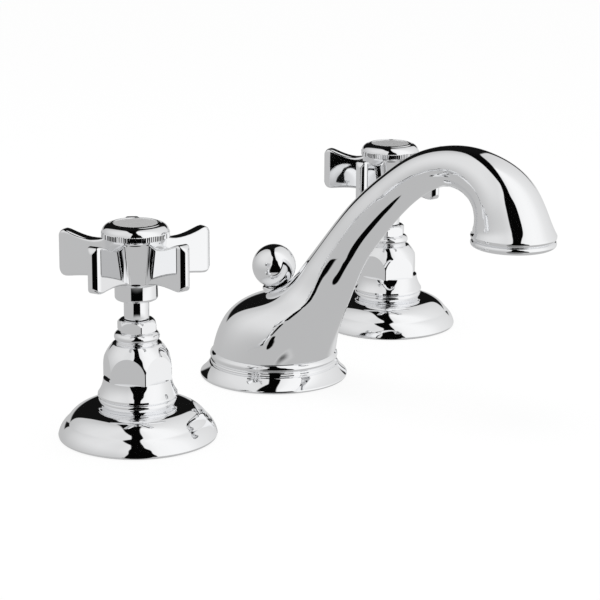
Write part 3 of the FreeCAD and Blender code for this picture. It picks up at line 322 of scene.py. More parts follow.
# Values between which most of the noise lies
NOISE_LOW, NOISE_HIGH = 0.3, 0.7


def add_noise(tree, place, scale, detail):
    """Noise on the object's own coordinates."""
    noise = tree.nodes.new("ShaderNodeTexNoise")
    noise.inputs["Scale"].default_value = scale
    noise.inputs["Detail"].default_value = detail
    tree.links.new(place, noise.inputs["Vector"])
    return noise.outputs["Fac"]


def spread(tree, source, low, high):
    """Map the noise's usual range to low and high."""
    ranger = tree.nodes.new("ShaderNodeMapRange")
    ranger.inputs["From Min"].default_value = NOISE_LOW
    ranger.inputs["From Max"].default_value = NOISE_HIGH
    ranger.inputs["To Min"].default_value = low
    ranger.inputs["To Max"].default_value = high
    tree.links.new(source, ranger.inputs["Value"])
    return ranger.outputs["Result"]


def mix_colours(tree, factor, first, second):
    """Blend two colours by a factor."""
    mix = tree.nodes.new("ShaderNodeMix")
    mix.data_type = "RGBA"
    tree.links.new(factor, mix.inputs[0])
    mix.inputs[6].default_value = (*first, 1)
    mix.inputs[7].default_value = (*second, 1)
    return mix.outputs[2]


def add_bump(tree, source, shader, strength, distance):
    """Bump from a height."""
    bump = tree.nodes.new("ShaderNodeBump")
    bump.inputs["Strength"].default_value = strength
    bump.inputs["Distance"].default_value = distance
    tree.links.new(source, bump.inputs["Height"])
    tree.links.new(bump.outputs["Normal"], shader.inputs["Normal"])


def shade(colour, factor):
    """A colour made darker or lighter by a factor."""
    return tuple(channel * factor for channel in colour)


def vary(tree, shader, grain, colours, roughness):
    """Let a grain vary the colour and the roughness between their two values."""
    tree.links.new(mix_colours(tree, grain, *colours), shader.inputs["Base Color"])
    tree.links.new(spread(tree, grain, *roughness), shader.inputs["Roughness"])


# Values of each finish. A grain has its cells per metre and its detail, a roughness runs from low to high
# noise, and a bump has its strength and its height in metres
HAZE_GRAIN = (55, 3)
HAZE_DARK_SHARE = 0.985
HAZE_ROUGHNESS_SHARES = (0.6, 1.4)
PATCH_GRAIN = (120, 5)
PATCH_DARK_SHARE = 0.72
PATCH_ROUGHNESS = (0.42, 0.26)
CAST_GRAIN = (1600, 2)
CAST_BUMP = (0.12, 0.0002)
BLOOM_GRAIN = (300, 4)
BLOOM_PALE_SHARE = 2.2
BLOOM_ROUGHNESS = (0.6, 0.82)
BLOOM_BUMP = (0.15, 0.0002)
SPANGLE_SCALE = 700
SPANGLE_DARK_SHARE = 0.86
SPANGLE_ROUGHNESS = (0.3, 0.42)
LAPPED_GRAIN = (900, 4)
LAPPED_COLOURS = ((0.78, 0.77, 0.73), (0.86, 0.855, 0.82))
LAPPED_ROUGHNESS = (0.16, 0.26)
MOULDED_GRAIN = (1400, 3)
MOULDED_COLOURS = ((0.56, 0.56, 0.57), (0.66, 0.66, 0.67))
MOULDED_ROUGHNESS = (0.38, 0.5)
MOULDED_BUMP = (0.08, 0.0001)
CLOUD_GRAIN = (260, 3)
CLOUD_DARK_SHARE = 0.95
CLOUD_ROUGHNESS = (0.1, 0.16)
GLAZE_WEIGHT = 0.5
GLAZE_ROUGHNESS = 0.03


def chrome_finish(settings, tree, shader, place):
    """Mirror plating with faint polishing haze."""
    shader.inputs["Metallic"].default_value = 1
    colour = settings.chrome_colour
    roughness = [settings.chrome_roughness * share for share in HAZE_ROUGHNESS_SHARES]
    haze = add_noise(tree, place, *HAZE_GRAIN)
    vary(tree, shader, haze, (shade(colour, HAZE_DARK_SHARE), colour), roughness)


def brass_finish(settings, tree, shader, place):
    """Bare brass with a sand-cast grain and dull patches."""
    shader.inputs["Metallic"].default_value = 1
    colour = settings.brass_colour
    patches = add_noise(tree, place, *PATCH_GRAIN)
    vary(tree, shader, patches, (shade(colour, PATCH_DARK_SHARE), colour), PATCH_ROUGHNESS)
    add_bump(tree, add_noise(tree, place, *CAST_GRAIN), shader, *CAST_BUMP)


def rubber_finish(settings, tree, shader, place):
    """Matt black rubber with a dusty bloom."""
    colour = settings.rubber_colour
    bloom = add_noise(tree, place, *BLOOM_GRAIN)
    vary(tree, shader, bloom, (colour, shade(colour, BLOOM_PALE_SHARE)), BLOOM_ROUGHNESS)
    add_bump(tree, bloom, shader, *BLOOM_BUMP)


def steel_finish(settings, tree, shader, place):
    """Zinc-plated steel with its fine spangle."""
    shader.inputs["Metallic"].default_value = 1
    colour = settings.steel_colour
    spangle = tree.nodes.new("ShaderNodeTexVoronoi")
    spangle.inputs["Scale"].default_value = SPANGLE_SCALE
    tree.links.new(place, spangle.inputs["Vector"])
    vary(tree, shader, spangle.outputs["Distance"], (shade(colour, SPANGLE_DARK_SHARE), colour),
         SPANGLE_ROUGHNESS)


def ceramic_finish(_, tree, shader, place):
    """Lapped white ceramic."""
    vary(tree, shader, add_noise(tree, place, *LAPPED_GRAIN), LAPPED_COLOURS, LAPPED_ROUGHNESS)


def plastic_finish(_, tree, shader, place):
    """Moulded grey plastic of the aerator."""
    grain = add_noise(tree, place, *MOULDED_GRAIN)
    vary(tree, shader, grain, MOULDED_COLOURS, MOULDED_ROUGHNESS)
    add_bump(tree, grain, shader, *MOULDED_BUMP)


def index_finish(settings, tree, shader, place):
    """Glazed off-white of the discs in the caps."""
    colour = settings.index_colour
    clouds = add_noise(tree, place, *CLOUD_GRAIN)
    vary(tree, shader, clouds, (shade(colour, CLOUD_DARK_SHARE), colour), CLOUD_ROUGHNESS)
    shader.inputs["Coat Weight"].default_value = GLAZE_WEIGHT
    shader.inputs["Coat Roughness"].default_value = GLAZE_ROUGHNESS


# The material of each slot, and what fills its node tree
FINISHES = {
    "chrome": ("chrome_plating", chrome_finish),
    "brass": ("bare_brass", brass_finish),
    "rubber": ("black_rubber", rubber_finish),
    "steel": ("zinc_plated_steel", steel_finish),
    "ceramic": ("lapped_ceramic", ceramic_finish),
    "insert_plastic": ("moulded_plastic", plastic_finish),
    "index_white": ("glazed_disc", index_finish),
}


def finish_of(node):
    """The material that a node's slot asks for."""
    return bpy.data.materials[FINISHES[SLOTS[node]][0]]


class MIXER_OT_finishes(bpy.types.Operator):
    """Make the finishes and put them on the nodes of the frame"""

    bl_idname = "mixer.finishes"
    bl_label = "Finishes"

    def execute(self, context):
        for name, fill in FINISHES.values():
            material = bpy.data.materials.new(name)
            material.use_nodes = True
            tree = material.node_tree
            place = tree.nodes.new("ShaderNodeTexCoord").outputs["Object"]
            fill(context.scene.mixer_finish, tree, tree.nodes["Principled BSDF"], place)
        for node, piece in frame["nodes"].items():
            piece.data.materials.clear()
            piece.data.materials.append(finish_of(node))
            piece.visible_glossy = SLOTS[node] == "chrome"
        return {"FINISHED"}


# Step along an arc in millimetres, its least number of steps, and the segments of a rounded corner
ARC_STEP = 0.55
LEAST_ARC_STEPS = 4
CORNER_SEGMENTS = 4
# Steps round the axis of slim, usual and wide turned pieces
SLIM_STEPS, TURN_STEPS, WIDE_STEPS = 96, 128, 160
FLAT_COUNT = 6
# What the facet at each corner between two flats takes off, in millimetres
CORNER_EASE = 0.12
# Angle past which an edge is sharp, on most pieces and on those with flats
SHARP_ANGLE = math.radians(28)
FLATS_SHARP_ANGLE = math.radians(8)


def add_arc(bm, start, end, bulge):
    """Carry an outline from the start vertex to the end point on an arc that stands out by the bulge."""
    first = start.co.copy()
    chord = end - first
    outward = Vector((chord.z, 0, -chord.x)).normalized() * (1 if bulge > 0 else -1)
    rise = abs(bulge)
    half = chord.length / 2
    radius = (half * half + rise * rise) / (2 * rise)
    centre = (first + end) / 2 + outward * (rise - radius)
    angle = 2 * math.atan2(half, radius - rise)
    count = max(LEAST_ARC_STEPS, math.ceil(radius * angle / ARC_STEP))
    axis = Vector((0, -1 if bulge > 0 else 1, 0))
    swept = bmesh.ops.spin(bm, geom=[start], cent=centre, axis=axis, angle=angle, steps=count,
                           use_duplicate=False)
    return next(item for item in swept["geom_last"] if isinstance(item, bmesh.types.BMVert))


def draw_outline(bm, outline):
    """Draw an outline in the plane y = 0. It stays open where both of its ends lie on the axis."""
    corners = [Vector((point[0], 0, point[1])) for point in outline]
    first = bm.verts.new(corners[0])
    rounded = [(first, outline[0][3])]
    here = first
    is_open = corners[0].x == 0 and corners[-1].x == 0
    for index, (_, _, bulge, _) in enumerate(outline):
        last = index + 1 == len(outline)
        if last and is_open:
            break
        target = corners[(index + 1) % len(outline)]
        if bulge:
            here = add_arc(bm, here, target, bulge)
            if last:
                bmesh.ops.pointmerge(bm, verts=[here, first], merge_co=first.co)
        elif last:
            bm.edges.new((here, first))
        else:
            following = bm.verts.new(target)
            bm.edges.new((here, following))
            here = following
        if not last:
            rounded.append((here, outline[index + 1][3]))
    for corner, rounding in rounded:
        if rounding and corner.is_valid:
            bmesh.ops.bevel(bm, geom=[corner], offset=rounding, offset_type="OFFSET",
                            segments=CORNER_SEGMENTS, profile=0.5, affect="VERTICES", material=-1,
                            clamp_overlap=True)


def turn_outline(outline, steps=TURN_STEPS):
    """A new mesh turned about the axis from an outline, in millimetres."""
    bm = bmesh.new()
    draw_outline(bm, outline)
    bmesh.ops.spin(bm, geom=bm.verts[:] + bm.edges[:], cent=(0, 0, 0), axis=UP, angle=FULL_TURN,
                   steps=steps, use_merge=True, use_duplicate=False)
    bmesh.ops.remove_doubles(bm, verts=bm.verts, dist=MERGE_GAP)
    bmesh.ops.recalc_face_normals(bm, faces=bm.faces)
    return bm


def cut_flats(bm, corner_radius, turn):
    """Cut upright flats round the axis, with a fine facet at each corner between them."""
    planes = []
    half_flat = math.pi / FLAT_COUNT
    for index in range(FLAT_COUNT):
        angle = turn + FULL_TURN * index / FLAT_COUNT
        planes.append((angle, corner_radius - CORNER_EASE))
        planes.append((angle + half_flat, corner_radius * math.cos(half_flat)))
    for angle, distance in planes:
        outward = Vector((math.cos(angle), math.sin(angle), 0))
        cut = bmesh.ops.bisect_plane(bm, geom=bm.verts[:] + bm.edges[:] + bm.faces[:], dist=MERGE_GAP,
                                     plane_co=outward * distance, plane_no=outward, clear_outer=True)
        rim = [item for item in cut["geom_cut"] if isinstance(item, bmesh.types.BMEdge)]
        if rim:
            bmesh.ops.contextual_create(bm, geom=rim)
    bmesh.ops.recalc_face_normals(bm, faces=bm.faces)


def join_into(bm, other):
    """Add another mesh to this one and free it."""
    spare = bpy.data.meshes.new("spare")
    other.to_mesh(spare)
    other.free()
    bm.from_mesh(spare)
    bpy.data.meshes.remove(spare)


def finish_piece(bm, node, centre=(0, 0, 0), sharp_angle=SHARP_ANGLE):
    """Turn the mesh into the node's visible piece: set it in place, shade it and hang it on its body."""
    bmesh.ops.translate(bm, verts=bm.verts, vec=centre)
    bmesh.ops.scale(bm, verts=bm.verts, vec=(MM, MM, MM))
    name = f"{node}_finished"
    mesh = bpy.data.meshes.new(name)
    bm.to_mesh(mesh)
    bm.free()
    mesh.polygons.foreach_set("use_smooth", [True] * len(mesh.polygons))
    mesh.set_sharp_from_angle(angle=sharp_angle)
    mesh.materials.append(finish_of(node))
    piece = bpy.data.objects.new(name, mesh)
    bpy.context.scene.collection.objects.link(piece)
    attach(piece, frame["nodes"][node]["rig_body"])
    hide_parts(node)


def turned_piece(node, outline, x=0, y=0, steps=TURN_STEPS):
    """A turned piece on an upright axis."""
    finish_piece(turn_outline(outline, steps), node, (x, y, 0))


class MIXER_OT_escutcheons(bpy.types.Operator):
    """Turn the domed rings on the deck and the beads over them"""

    bl_idname = "mixer.escutcheons"
    bl_label = "Escutcheons"

    def execute(self, context):
        for prefix, side in SIDES:
            x = VALVE_OFFSET * side
            turned_piece(f"{prefix}_escutcheon", ESCUTCHEON, x, steps=WIDE_STEPS)
            turned_piece(f"{prefix}_bead_ring", BEAD_RING, x)
        return {"FINISHED"}


# How each side's bell and nut are turned, and their radii over the corners
BELL_TURNS = {"hot": math.radians(-11), "cold": math.radians(25)}
BELL_CORNER_RADIUS = BELL[1][0]
NUT_CORNER_RADIUS = GLAND_NUT[2][0]
# Steps round the bell, fine enough for its cut flats
BELL_STEPS = 192


class MIXER_OT_bonnets(bpy.types.Operator):
    """Turn the bonnets, their neck rings, gland nuts and spindles"""

    bl_idname = "mixer.bonnets"
    bl_label = "Bonnets"

    def execute(self, context):
        for prefix, side in SIDES:
            x = VALVE_OFFSET * side
            skirt = turn_outline(SKIRT)
            bell = turn_outline(BELL, BELL_STEPS)
            cut_flats(bell, BELL_CORNER_RADIUS, BELL_TURNS[prefix])
            join_into(skirt, bell)
            finish_piece(skirt, f"{prefix}_bonnet", (x, 0, 0), FLATS_SHARP_ANGLE)
            turned_piece(f"{prefix}_neck_ring", NECK_RING, x)
            nut = turn_outline(GLAND_NUT, SLIM_STEPS)
            cut_flats(nut, NUT_CORNER_RADIUS, BELL_TURNS[prefix])
            finish_piece(nut, f"{prefix}_gland_nut", (x, 0, 0), FLATS_SHARP_ANGLE)
            turned_piece(f"{prefix}_spindle", SPINDLE, x, steps=SLIM_STEPS)
        return {"FINISHED"}


# Sections of a blade from its root to its end, in millimetres: distance from the axis, half of its
# width, lower edge, upper edge, rounding of its long edges, and how far it leans out per millimetre up
BLADE_SECTIONS = (
    (9.5, 3.8, 63.6, 80.6, 0.3, 0.13),
    (10.314, 3.526, 63.7, 80.5, 0.3, 0.13),
    (10.461, 3.248, 63.75, 80.45, 0.35, 0.13),
    (10.686, 3.031, 63.8, 80.4, 0.45, 0.13),
    (10.951, 2.899, 63.85, 80.3, 0.6, 0.13),
    (11.26, 2.85, 63.9, 80.25, 0.7, 0.13),
    (11.6, 2.85, 64.0, 80.15, 0.75, 0.12),
    (12.5, 2.85, 64.2, 79.9, 0.85, 0.09),
    (14.0, 2.85, 64.5, 79.65, 0.9, 0.04),
    (16.0, 2.85, 64.75, 79.5, 0.95, 0),
    (18.0, 2.85, 64.85, 79.65, 0.95, 0),
    (20.0, 2.85, 64.85, 80.05, 0.95, 0),
    (22.0, 2.85, 64.75, 80.65, 0.95, 0),
    (24.0, 2.85, 64.6, 81.4, 0.95, 0),
    (25.5, 2.85, 64.45, 82.0, 0.95, 0),
    (26.8, 2.85, 64.35, 82.5, 0.95, 0),
    (27.8, 2.85, 64.35, 82.72, 1.0, 0),
    (28.14, 2.85, 64.4, 82.75, 1.0, 0),
    (28.89, 2.725, 64.55, 82.65, 1.05, 0),
    (29.556, 2.362, 64.85, 82.4, 1.1, 0),
    (29.991, 1.97, 65.2, 82.05, 1.1, 0),
    (30.368, 1.521, 65.6, 81.65, 1.0, 0),
    (30.678, 1.024, 66.1, 81.15, 0.8, 0),
    (30.917, 0.489, 66.65, 80.6, 0.45, 0),
    (30.98, 0.25, 66.95, 80.3, 0.2, 0),
    (31.0, 0.08, 67.2, 80.05, 0.07, 0),
)
EDGE_SEGMENTS = 5
# Height that the lean is measured from, and length of face beside each rounding that keeps it flat
LEAN_HEIGHT = 72.0
HOLD_LENGTH = 0.3
# Places of the four corners among a section's points, and the most of its half width that they round
CORNER_PLACES = (0, 3, 4, 7)
ROUNDING_SHARE = 0.96
HANDLE_SHARP_ANGLE = math.radians(34)


def draw_section(bm, distance, half_width, low, high, rounding, lean):
    """Edges of one blade section: an upright rectangle with rounded corners."""
    hold = rounding + HOLD_LENGTH
    heights = (low, low + hold, high - hold, high)
    outline = [(half_width, z) for z in heights] + [(-half_width, z) for z in reversed(heights)]
    verts = [bm.verts.new((distance + (z - LEAN_HEIGHT) * lean, y, z)) for y, z in outline]
    for index, vert in enumerate(verts):
        bm.edges.new((vert, verts[(index + 1) % len(verts)]))
    corners = [verts[place] for place in CORNER_PLACES]
    bmesh.ops.bevel(bm, geom=corners, offset=min(rounding, half_width * ROUNDING_SHARE),
                    offset_type="OFFSET", segments=EDGE_SEGMENTS, profile=0.5, affect="VERTICES",
                    material=-1, clamp_overlap=True)


def blade():
    """One blade along the x axis, lofted through its sections."""
    bm = bmesh.new()
    rings = []
    for section in BLADE_SECTIONS:
        before = set(bm.edges)
        draw_section(bm, *section)
        rings.append([edge for edge in bm.edges if edge not in before])
    for first, second in zip(rings, rings[1:]):
        bmesh.ops.bridge_loops(bm, edges=first + second)
    for ring in (rings[0], rings[-1]):
        bmesh.ops.contextual_create(bm, geom=ring)
    bmesh.ops.recalc_face_normals(bm, faces=bm.faces)
    return bm


class MIXER_OT_handles(bpy.types.Operator):
    """Build the cross handles: a turned hub with lofted blades"""

    bl_idname = "mixer.handles"
    bl_label = "Handles"

    def execute(self, context):
        settings = context.scene.mixer_handle
        for prefix, side in SIDES:
            hub = turn_outline(HUB, WIDE_STEPS)
            for index in range(settings.blade_count):
                arm = blade()
                angle = settings.first_blade + FULL_TURN * index / settings.blade_count
                bmesh.ops.rotate(arm, verts=arm.verts, cent=(0, 0, 0),
                                 matrix=Matrix.Rotation(angle, 3, "Z"))
                join_into(hub, arm)
            finish_piece(hub, f"{prefix}_handle", (VALVE_OFFSET * side, 0, 0), HANDLE_SHARP_ANGLE)
        return {"FINISHED"}


# The cap's ribbed band runs between these two points of its outline
BAND_FOOT, BAND_TOP = CAP[3], CAP[4]
STEPS_PER_RIB = 3
CAP_SHARP_ANGLE = math.radians(24)


class MIXER_OT_caps(bpy.types.Operator):
    """Turn the caps with their ribbed bands, and the plain discs in them"""

    bl_idname = "mixer.caps"
    bl_label = "Caps"

    def execute(self, context):
        settings = context.scene.mixer_handle
        columns = settings.rib_count * STEPS_PER_RIB
        band_radius, band_low = BAND_FOOT[:2]
        band_high = BAND_TOP[1]
        for prefix, side in SIDES:
            x = VALVE_OFFSET * side
            cap = turn_outline(CAP, columns)
            grooves = []
            for vert in cap.verts:
                column = round(math.atan2(vert.co.y, vert.co.x) / FULL_TURN * columns)
                in_band = band_low - MERGE_GAP < vert.co.z < band_high + MERGE_GAP
                outside = vert.co.xy.length > band_radius - MERGE_GAP
                if in_band and outside and column % STEPS_PER_RIB == 0:
                    grooves.append(vert)
            share = 1 - settings.rib_depth / MM / band_radius
            bmesh.ops.scale(cap, verts=grooves, vec=(share, share, 1))
            finish_piece(cap, f"{prefix}_handle_cap", (x, 0, 0), CAP_SHARP_ANGLE)
            turned_piece(f"{prefix}_index_disc", INDEX_DISC, x)
        return {"FINISHED"}


# Sections of the spout from its foot to its mouth, in millimetres: distance forward, height, lean of the
# section in degrees, and radius
SPOUT_SECTIONS = (
    (0.3, 11.8, 0.0, 26.75),
    (2.7, 20.6, -0.5, 26.45),
    (5.5, 25.9, 2.5, 25.6),
    (12.2, 33.1, 5.0, 22.0),
    (22.05, 40.1, 5.8, 15.65),
    (28.5, 49.47, 9.0, 12.6),
    (35.3, 60.26, 22.68, 10.5),
    (45.96, 74.46, 42.12, 9.66),
    (59.72, 88.66, 53.46, 8.69),
    (73.82, 98.64, 68.76, 8.3),
    (86.22, 101.7, 87.12, 8.55),
    (100.33, 97.51, 107.46, 11.27),
    (109.2, 88.37, 141.84, 14.48),
    (112.27, 81.71, 167.04, 15.51),
    (113.15, 79.3, 174.0, 16.15),
    (113.75, 77.0, 180.0, 17.42),
)
SPOUT_RINGS_PER_SPAN = 9
SPOUT_SIDES = 144
SPOUT_SHARP_ANGLE = math.radians(32)
# Closing rings of the mouth and of the foot in millimetres: radius and height
MOUTH_RINGS = ((17.4, 76.4), (17.25, 75.9), (17.0, 75.5), (16.7, 75.28), (16.35, 75.2), (12.75, 75.2),
               (12.7, 84.0))
FOOT_RINGS = ((26.5, 11.8), (13.2, 11.8), (13.1, 26.0))
# Ridge along both cheeks, on the spout's rear half: height in millimetres, turn of the flat flank above and
# of the one below in degrees, share of the radius that the whole cheek stands out, and the crest's
# degrees from sideways
RIDGE_SHARES = ((11.8, 10, 10, 0, 20), (16, 14, 16, 0, 20), (21, 18, 22, 0, 20), (26, 21, 27, 0, 20),
                (33, 23, 32, 0, 19), (40, 23, 37, 0.01, 15), (46, 21, 35, 0.02, 10), (52, 18, 28, 0.04, 4),
                (60, 15, 18, 0.04, -3), (75, 12, 12, 0.02, -8), (95, 9, 9, 0, -8))
RIDGE_ROUNDING = math.radians(2.5)
CHEEK_REACH = math.radians(80)


def smooth_run(stations, values, wanted):
    """Values of the natural cubic spline through the stations, at the wanted places."""
    steps = np.diff(stations)
    slopes = np.diff(values) / steps
    size = len(stations)
    system = np.eye(size)
    right = np.zeros(size)
    for row in range(1, size - 1):
        system[row, row - 1:row + 2] = steps[row - 1], 2 * (steps[row - 1] + steps[row]), steps[row]
        right[row] = 6 * (slopes[row] - slopes[row - 1])
    bends = np.linalg.solve(system, right)
    span = np.clip(np.searchsorted(stations, wanted, side="right") - 1, 0, size - 2)
    ahead = stations[span + 1] - wanted
    behind = wanted - stations[span]
    step = steps[span]
    return ((bends[span] * ahead ** 3 + bends[span + 1] * behind ** 3) / (6 * step)
            + (values[span] / step - bends[span] * step / 6) * ahead
            + (values[span + 1] / step - bends[span + 1] * step / 6) * behind)


def ring_matrix(y, z, radius, across, along):
    """Where the unit circle goes for one ring of the spout."""
    return Matrix((
        (radius, 0, 0, 0),
        (0, across, -along, y),
        (0, along, across, z),
        (0, 0, 0, 1),
    ))


def spout_rings():
    """Matrices of all rings of the spout from its foot to its mouth."""
    table = np.array(SPOUT_SECTIONS)
    centres = table[:, :2]
    stations = np.concatenate(([0], np.cumsum(np.linalg.norm(np.diff(centres, axis=0), axis=1))))
    shares = np.linspace(0, 1, SPOUT_RINGS_PER_SPAN, endpoint=False)
    wanted = np.concatenate([start + (end - start) * shares for start, end in zip(stations, stations[1:])]
                            + [stations[-1:]])
    lean = np.radians(table[:, 2])
    radius = table[:, 3]
    columns = (-table[:, 0], table[:, 1], radius, radius * np.cos(lean), radius * np.sin(lean))
    runs = [smooth_run(stations, column, wanted) for column in columns]
    return [ring_matrix(*values) for values in zip(*(run.tolist() for run in runs))]


def level_ring(y, radius, height, facing):
    """A level ring; facing is -1 where it is upside down."""
    return ring_matrix(y, height, radius, radius * facing, 0)


def carry_ring(bm, edges, before, after):
    """Extrude a ring of edges and move the new ring to its own place."""
    grown = bmesh.ops.extrude_edge_only(bm, edges=edges)["geom"]
    verts = [item for item in grown if isinstance(item, bmesh.types.BMVert)]
    bmesh.ops.transform(bm, matrix=after @ before.inverted(), verts=verts)
    return [item for item in grown if isinstance(item, bmesh.types.BMEdge)
            and all(vert in verts for vert in item.verts)]


def raise_ridges(edges, ring):
    """Draw a ring of the spout outward at the ridge along each cheek, and hollow the cheek below it."""
    heights, *columns = zip(*RIDGE_SHARES)
    height = ring.translation.z
    above, below, cheek, degrees = (float(np.interp(height, heights, column)) for column in columns)
    above, below, crest = map(math.radians, (above, below, degrees))
    hollow = math.cos(below) / math.cos(above)
    inverse = ring.inverted()
    for vert in {vert for edge in edges for vert in edge.verts}:
        local = inverse @ vert.co
        off = math.atan2(-local.y, abs(local.x)) - crest
        fall = math.hypot(off, RIDGE_ROUNDING) - RIDGE_ROUNDING
        reach = max(0, 1 - (off / CHEEK_REACH) ** 2) ** 2
        if off < 0:
            share = 1 / math.cos(max(0, above - fall))
        elif fall < below:
            share = hollow / math.cos(below - fall)
        else:
            rise = (fall - below) / (QUARTER_TURN - crest - below)
            share = hollow + (1 - hollow) * rise * rise * (3 - 2 * rise)
        vert.co = ring @ (local * (share + cheek * reach))


class MIXER_OT_spout(bpy.types.Operator):
    """Loft the swan neck from its foot to its mouth"""

    bl_idname = "mixer.spout"
    bl_label = "Spout"

    def execute(self, context):
        rings = spout_rings()
        mouth = [level_ring(MOUTH_Y, radius, height, -1) for radius, height in MOUTH_RINGS]
        foot = [level_ring(0, radius, height, 1) for radius, height in FOOT_RINGS]
        bm = bmesh.new()
        bmesh.ops.create_circle(bm, segments=SPOUT_SIDES, radius=1)
        first = bm.edges[:]
        bmesh.ops.transform(bm, matrix=rings[0], verts=bm.verts)
        drawn = [(first, rings[0])]
        for run, edges in ((rings + mouth, first), ([rings[0]] + foot, first)):
            for before, after in zip(run, run[1:]):
                edges = carry_ring(bm, edges, before, after)
                if after in rings:
                    drawn.append((edges, after))
            bmesh.ops.contextual_create(bm, geom=edges)
        for edges, ring in drawn:
            if ring.translation.y > MOUTH_Y / 2:
                raise_ridges(edges, ring)
        bmesh.ops.recalc_face_normals(bm, faces=bm.faces)
        finish_piece(bm, "spout_body", sharp_angle=SPOUT_SHARP_ANGLE)
        return {"FINISHED"}


class MIXER_OT_spout_rings(bpy.types.Operator):
    """Turn the deck ring under the foot and the ring at the mouth"""

    bl_idname = "mixer.spout_rings"
    bl_label = "Spout Rings"

    def execute(self, context):
        turned_piece("spout_base_ring", BASE_RING, steps=WIDE_STEPS)
        turned_piece("outlet_ring", OUTLET_RING, y=MOUTH_Y)
        return {"FINISHED"}


# Ball knob in millimetres: what its flat foot takes off the ball, radius of the hole for the rod, and how
# far below the ball's centre the hole ends
KNOB_FLAT_DEPTH = 0.5
ROD_HOLE_RADIUS = 2.5
ROD_HOLE_DROP = 0.6


class MIXER_OT_lift(bpy.types.Operator):
    """Turn the ball knob and the guide that its rod slides in"""

    bl_idname = "mixer.lift"
    bl_label = "Pop-up Lift"

    def execute(self, context):
        flat, top = node_low("lift_knob"), node_high("lift_knob")
        radius = (top - flat + KNOB_FLAT_DEPTH) / 2
        centre = top - radius
        flat_radius = math.sqrt(radius ** 2 - (centre - flat) ** 2)
        half = math.hypot(flat_radius, centre + radius - flat) / 2
        bulge = radius - math.sqrt(radius ** 2 - half ** 2)
        ball = (
            (0, centre - ROD_HOLE_DROP, 0, 0),
            (ROD_HOLE_RADIUS, centre - ROD_HOLE_DROP, 0, 0),
            (ROD_HOLE_RADIUS, flat, 0, 0),
            (flat_radius, flat, bulge, 0),
            (0, centre + radius, 0, 0),
        )
        turned_piece("lift_knob", ball)
        turned_piece("rod_guide", ROD_GUIDE, steps=SLIM_STEPS)
        return {"FINISHED"}


def camera_axes(studio):
    """Camera's place and its right, up and back directions, in metres."""
    turn, lift = studio.camera_azimuth, studio.camera_elevation
    back = Vector((math.sin(turn) * math.cos(lift), -math.cos(turn) * math.cos(lift), math.sin(lift)))
    level = Vector((math.cos(turn), math.sin(turn), 0))
    upright = back.cross(level)
    roll = studio.camera_roll
    right = level * math.cos(roll) + upright * math.sin(roll)
    up = upright * math.cos(roll) - level * math.sin(roll)
    place = right * studio.target_right + up * studio.target_up + back * studio.camera_distance
    return place, right, up, back


def math_node(tree, operation, *values):
    """A math node fed with sockets or numbers."""
    node = tree.nodes.new("ShaderNodeMath")
    node.operation = operation
    for socket, value in zip(node.inputs, values):
        if isinstance(value, (int, float)):
            socket.default_value = value
        else:
            tree.links.new(value, socket)
    return node.outputs[0]


def step_node(tree, value, edge, softness):
    """0 well below the edge, 1 well above it."""
    gap = math_node(tree, "SUBTRACT", value, edge)
    node = tree.nodes.new("ShaderNodeMapRange")
    node.interpolation_type = "SMOOTHSTEP"
    node.inputs["From Min"].default_value = -softness
    node.inputs["From Max"].default_value = softness
    tree.links.new(gap, node.inputs["Value"])
    return node.outputs["Result"]


def blend_node(tree, factor, first, second):
    """A value that goes from first to second with the factor."""
    node = tree.nodes.new("ShaderNodeMix")
    for socket, value in zip((node.inputs[0], node.inputs[2], node.inputs[3]), (factor, first, second)):
        if isinstance(value, (int, float)):
            socket.default_value = value
        else:
            tree.links.new(value, socket)
    return node.outputs[0]


def degrees_node(tree, operation, *values):
    """The angle that an operation gives, in degrees."""
    return math_node(tree, "DEGREES", math_node(tree, operation, *values))


# What turns a shown shade into scene light, and the share of it that the plating gives back
SHADE_OFFSET = 0.055
SHADE_POWER = 2.4
PLATING_SHARE = 0.93


def linear(shown):
    """Scene light for a shade as it is shown, seen in the plating."""
    return ((shown + SHADE_OFFSET) / (1 + SHADE_OFFSET)) ** SHADE_POWER / PLATING_SHARE


# Light from the panels as the plating shows it: degrees to the right of the camera, and shade
PANEL_SHADES = (
    (-180, 0.80), (-150, 0.76), (-130, 0.78), (-115, 0.83), (-90, 0.87), (-60, 0.88), (-30, 0.86),
    (20, 0.92), (36, 0.96), (60, 0.97), (80, 0.96), (105, 0.90), (140, 0.86), (180, 0.80),
)
# Edges of the dark gap that runs from the front over the zenith to the rear, in degrees: pitch round the
# side axis, and turn to the side. The edges' softness is in degrees too
GAP_LEFT_EDGE = (
    (-180, -24), (-22, -23), (0, -18), (20, -10), (34, -9), (46, -6), (56, -6), (66, -10), (76, -13),
    (90, -14), (106, -15), (116, -19), (130, -27), (140, -33), (160, -38), (180, -40),
)
GAP_RIGHT_EDGE = (
    (-180, 38), (-22, 36), (0, 34), (20, 24), (34, 20), (46, 11), (56, 8), (66, 5), (76, 3), (90, 2),
    (106, 2), (118, 3), (130, 8), (140, 11), (152, 14), (168, 28), (180, 33),
)
GAP_SOFTNESS = 0.8
# Where the gap ends before the object and behind it: elevation and softness in degrees
GAP_FOOT = (-24, 1.5)
REAR_FOOT = (5, 2.5)
# How softly the half before the object meets the half behind it, as a share of the direction
FRONT_SOFT_SHARE = 0.1
# Where the gap turns from its front shade into its rear one: pitch and softness in degrees
REAR_CHANGE = (112, 20)
GAP_SHADE, REAR_GAP_SHADE = 0.012, 0.07
# Middle and half size of the dark slit in the floor, in degrees of azimuth and elevation, and how soft its
# edge is as a share of its size
SLIT_TURN, SLIT_RISE = 2, -51
SLIT_HALF_WIDTH, SLIT_HALF_HEIGHT = 28, 9
SLIT_SOFT_SHARE = 0.12
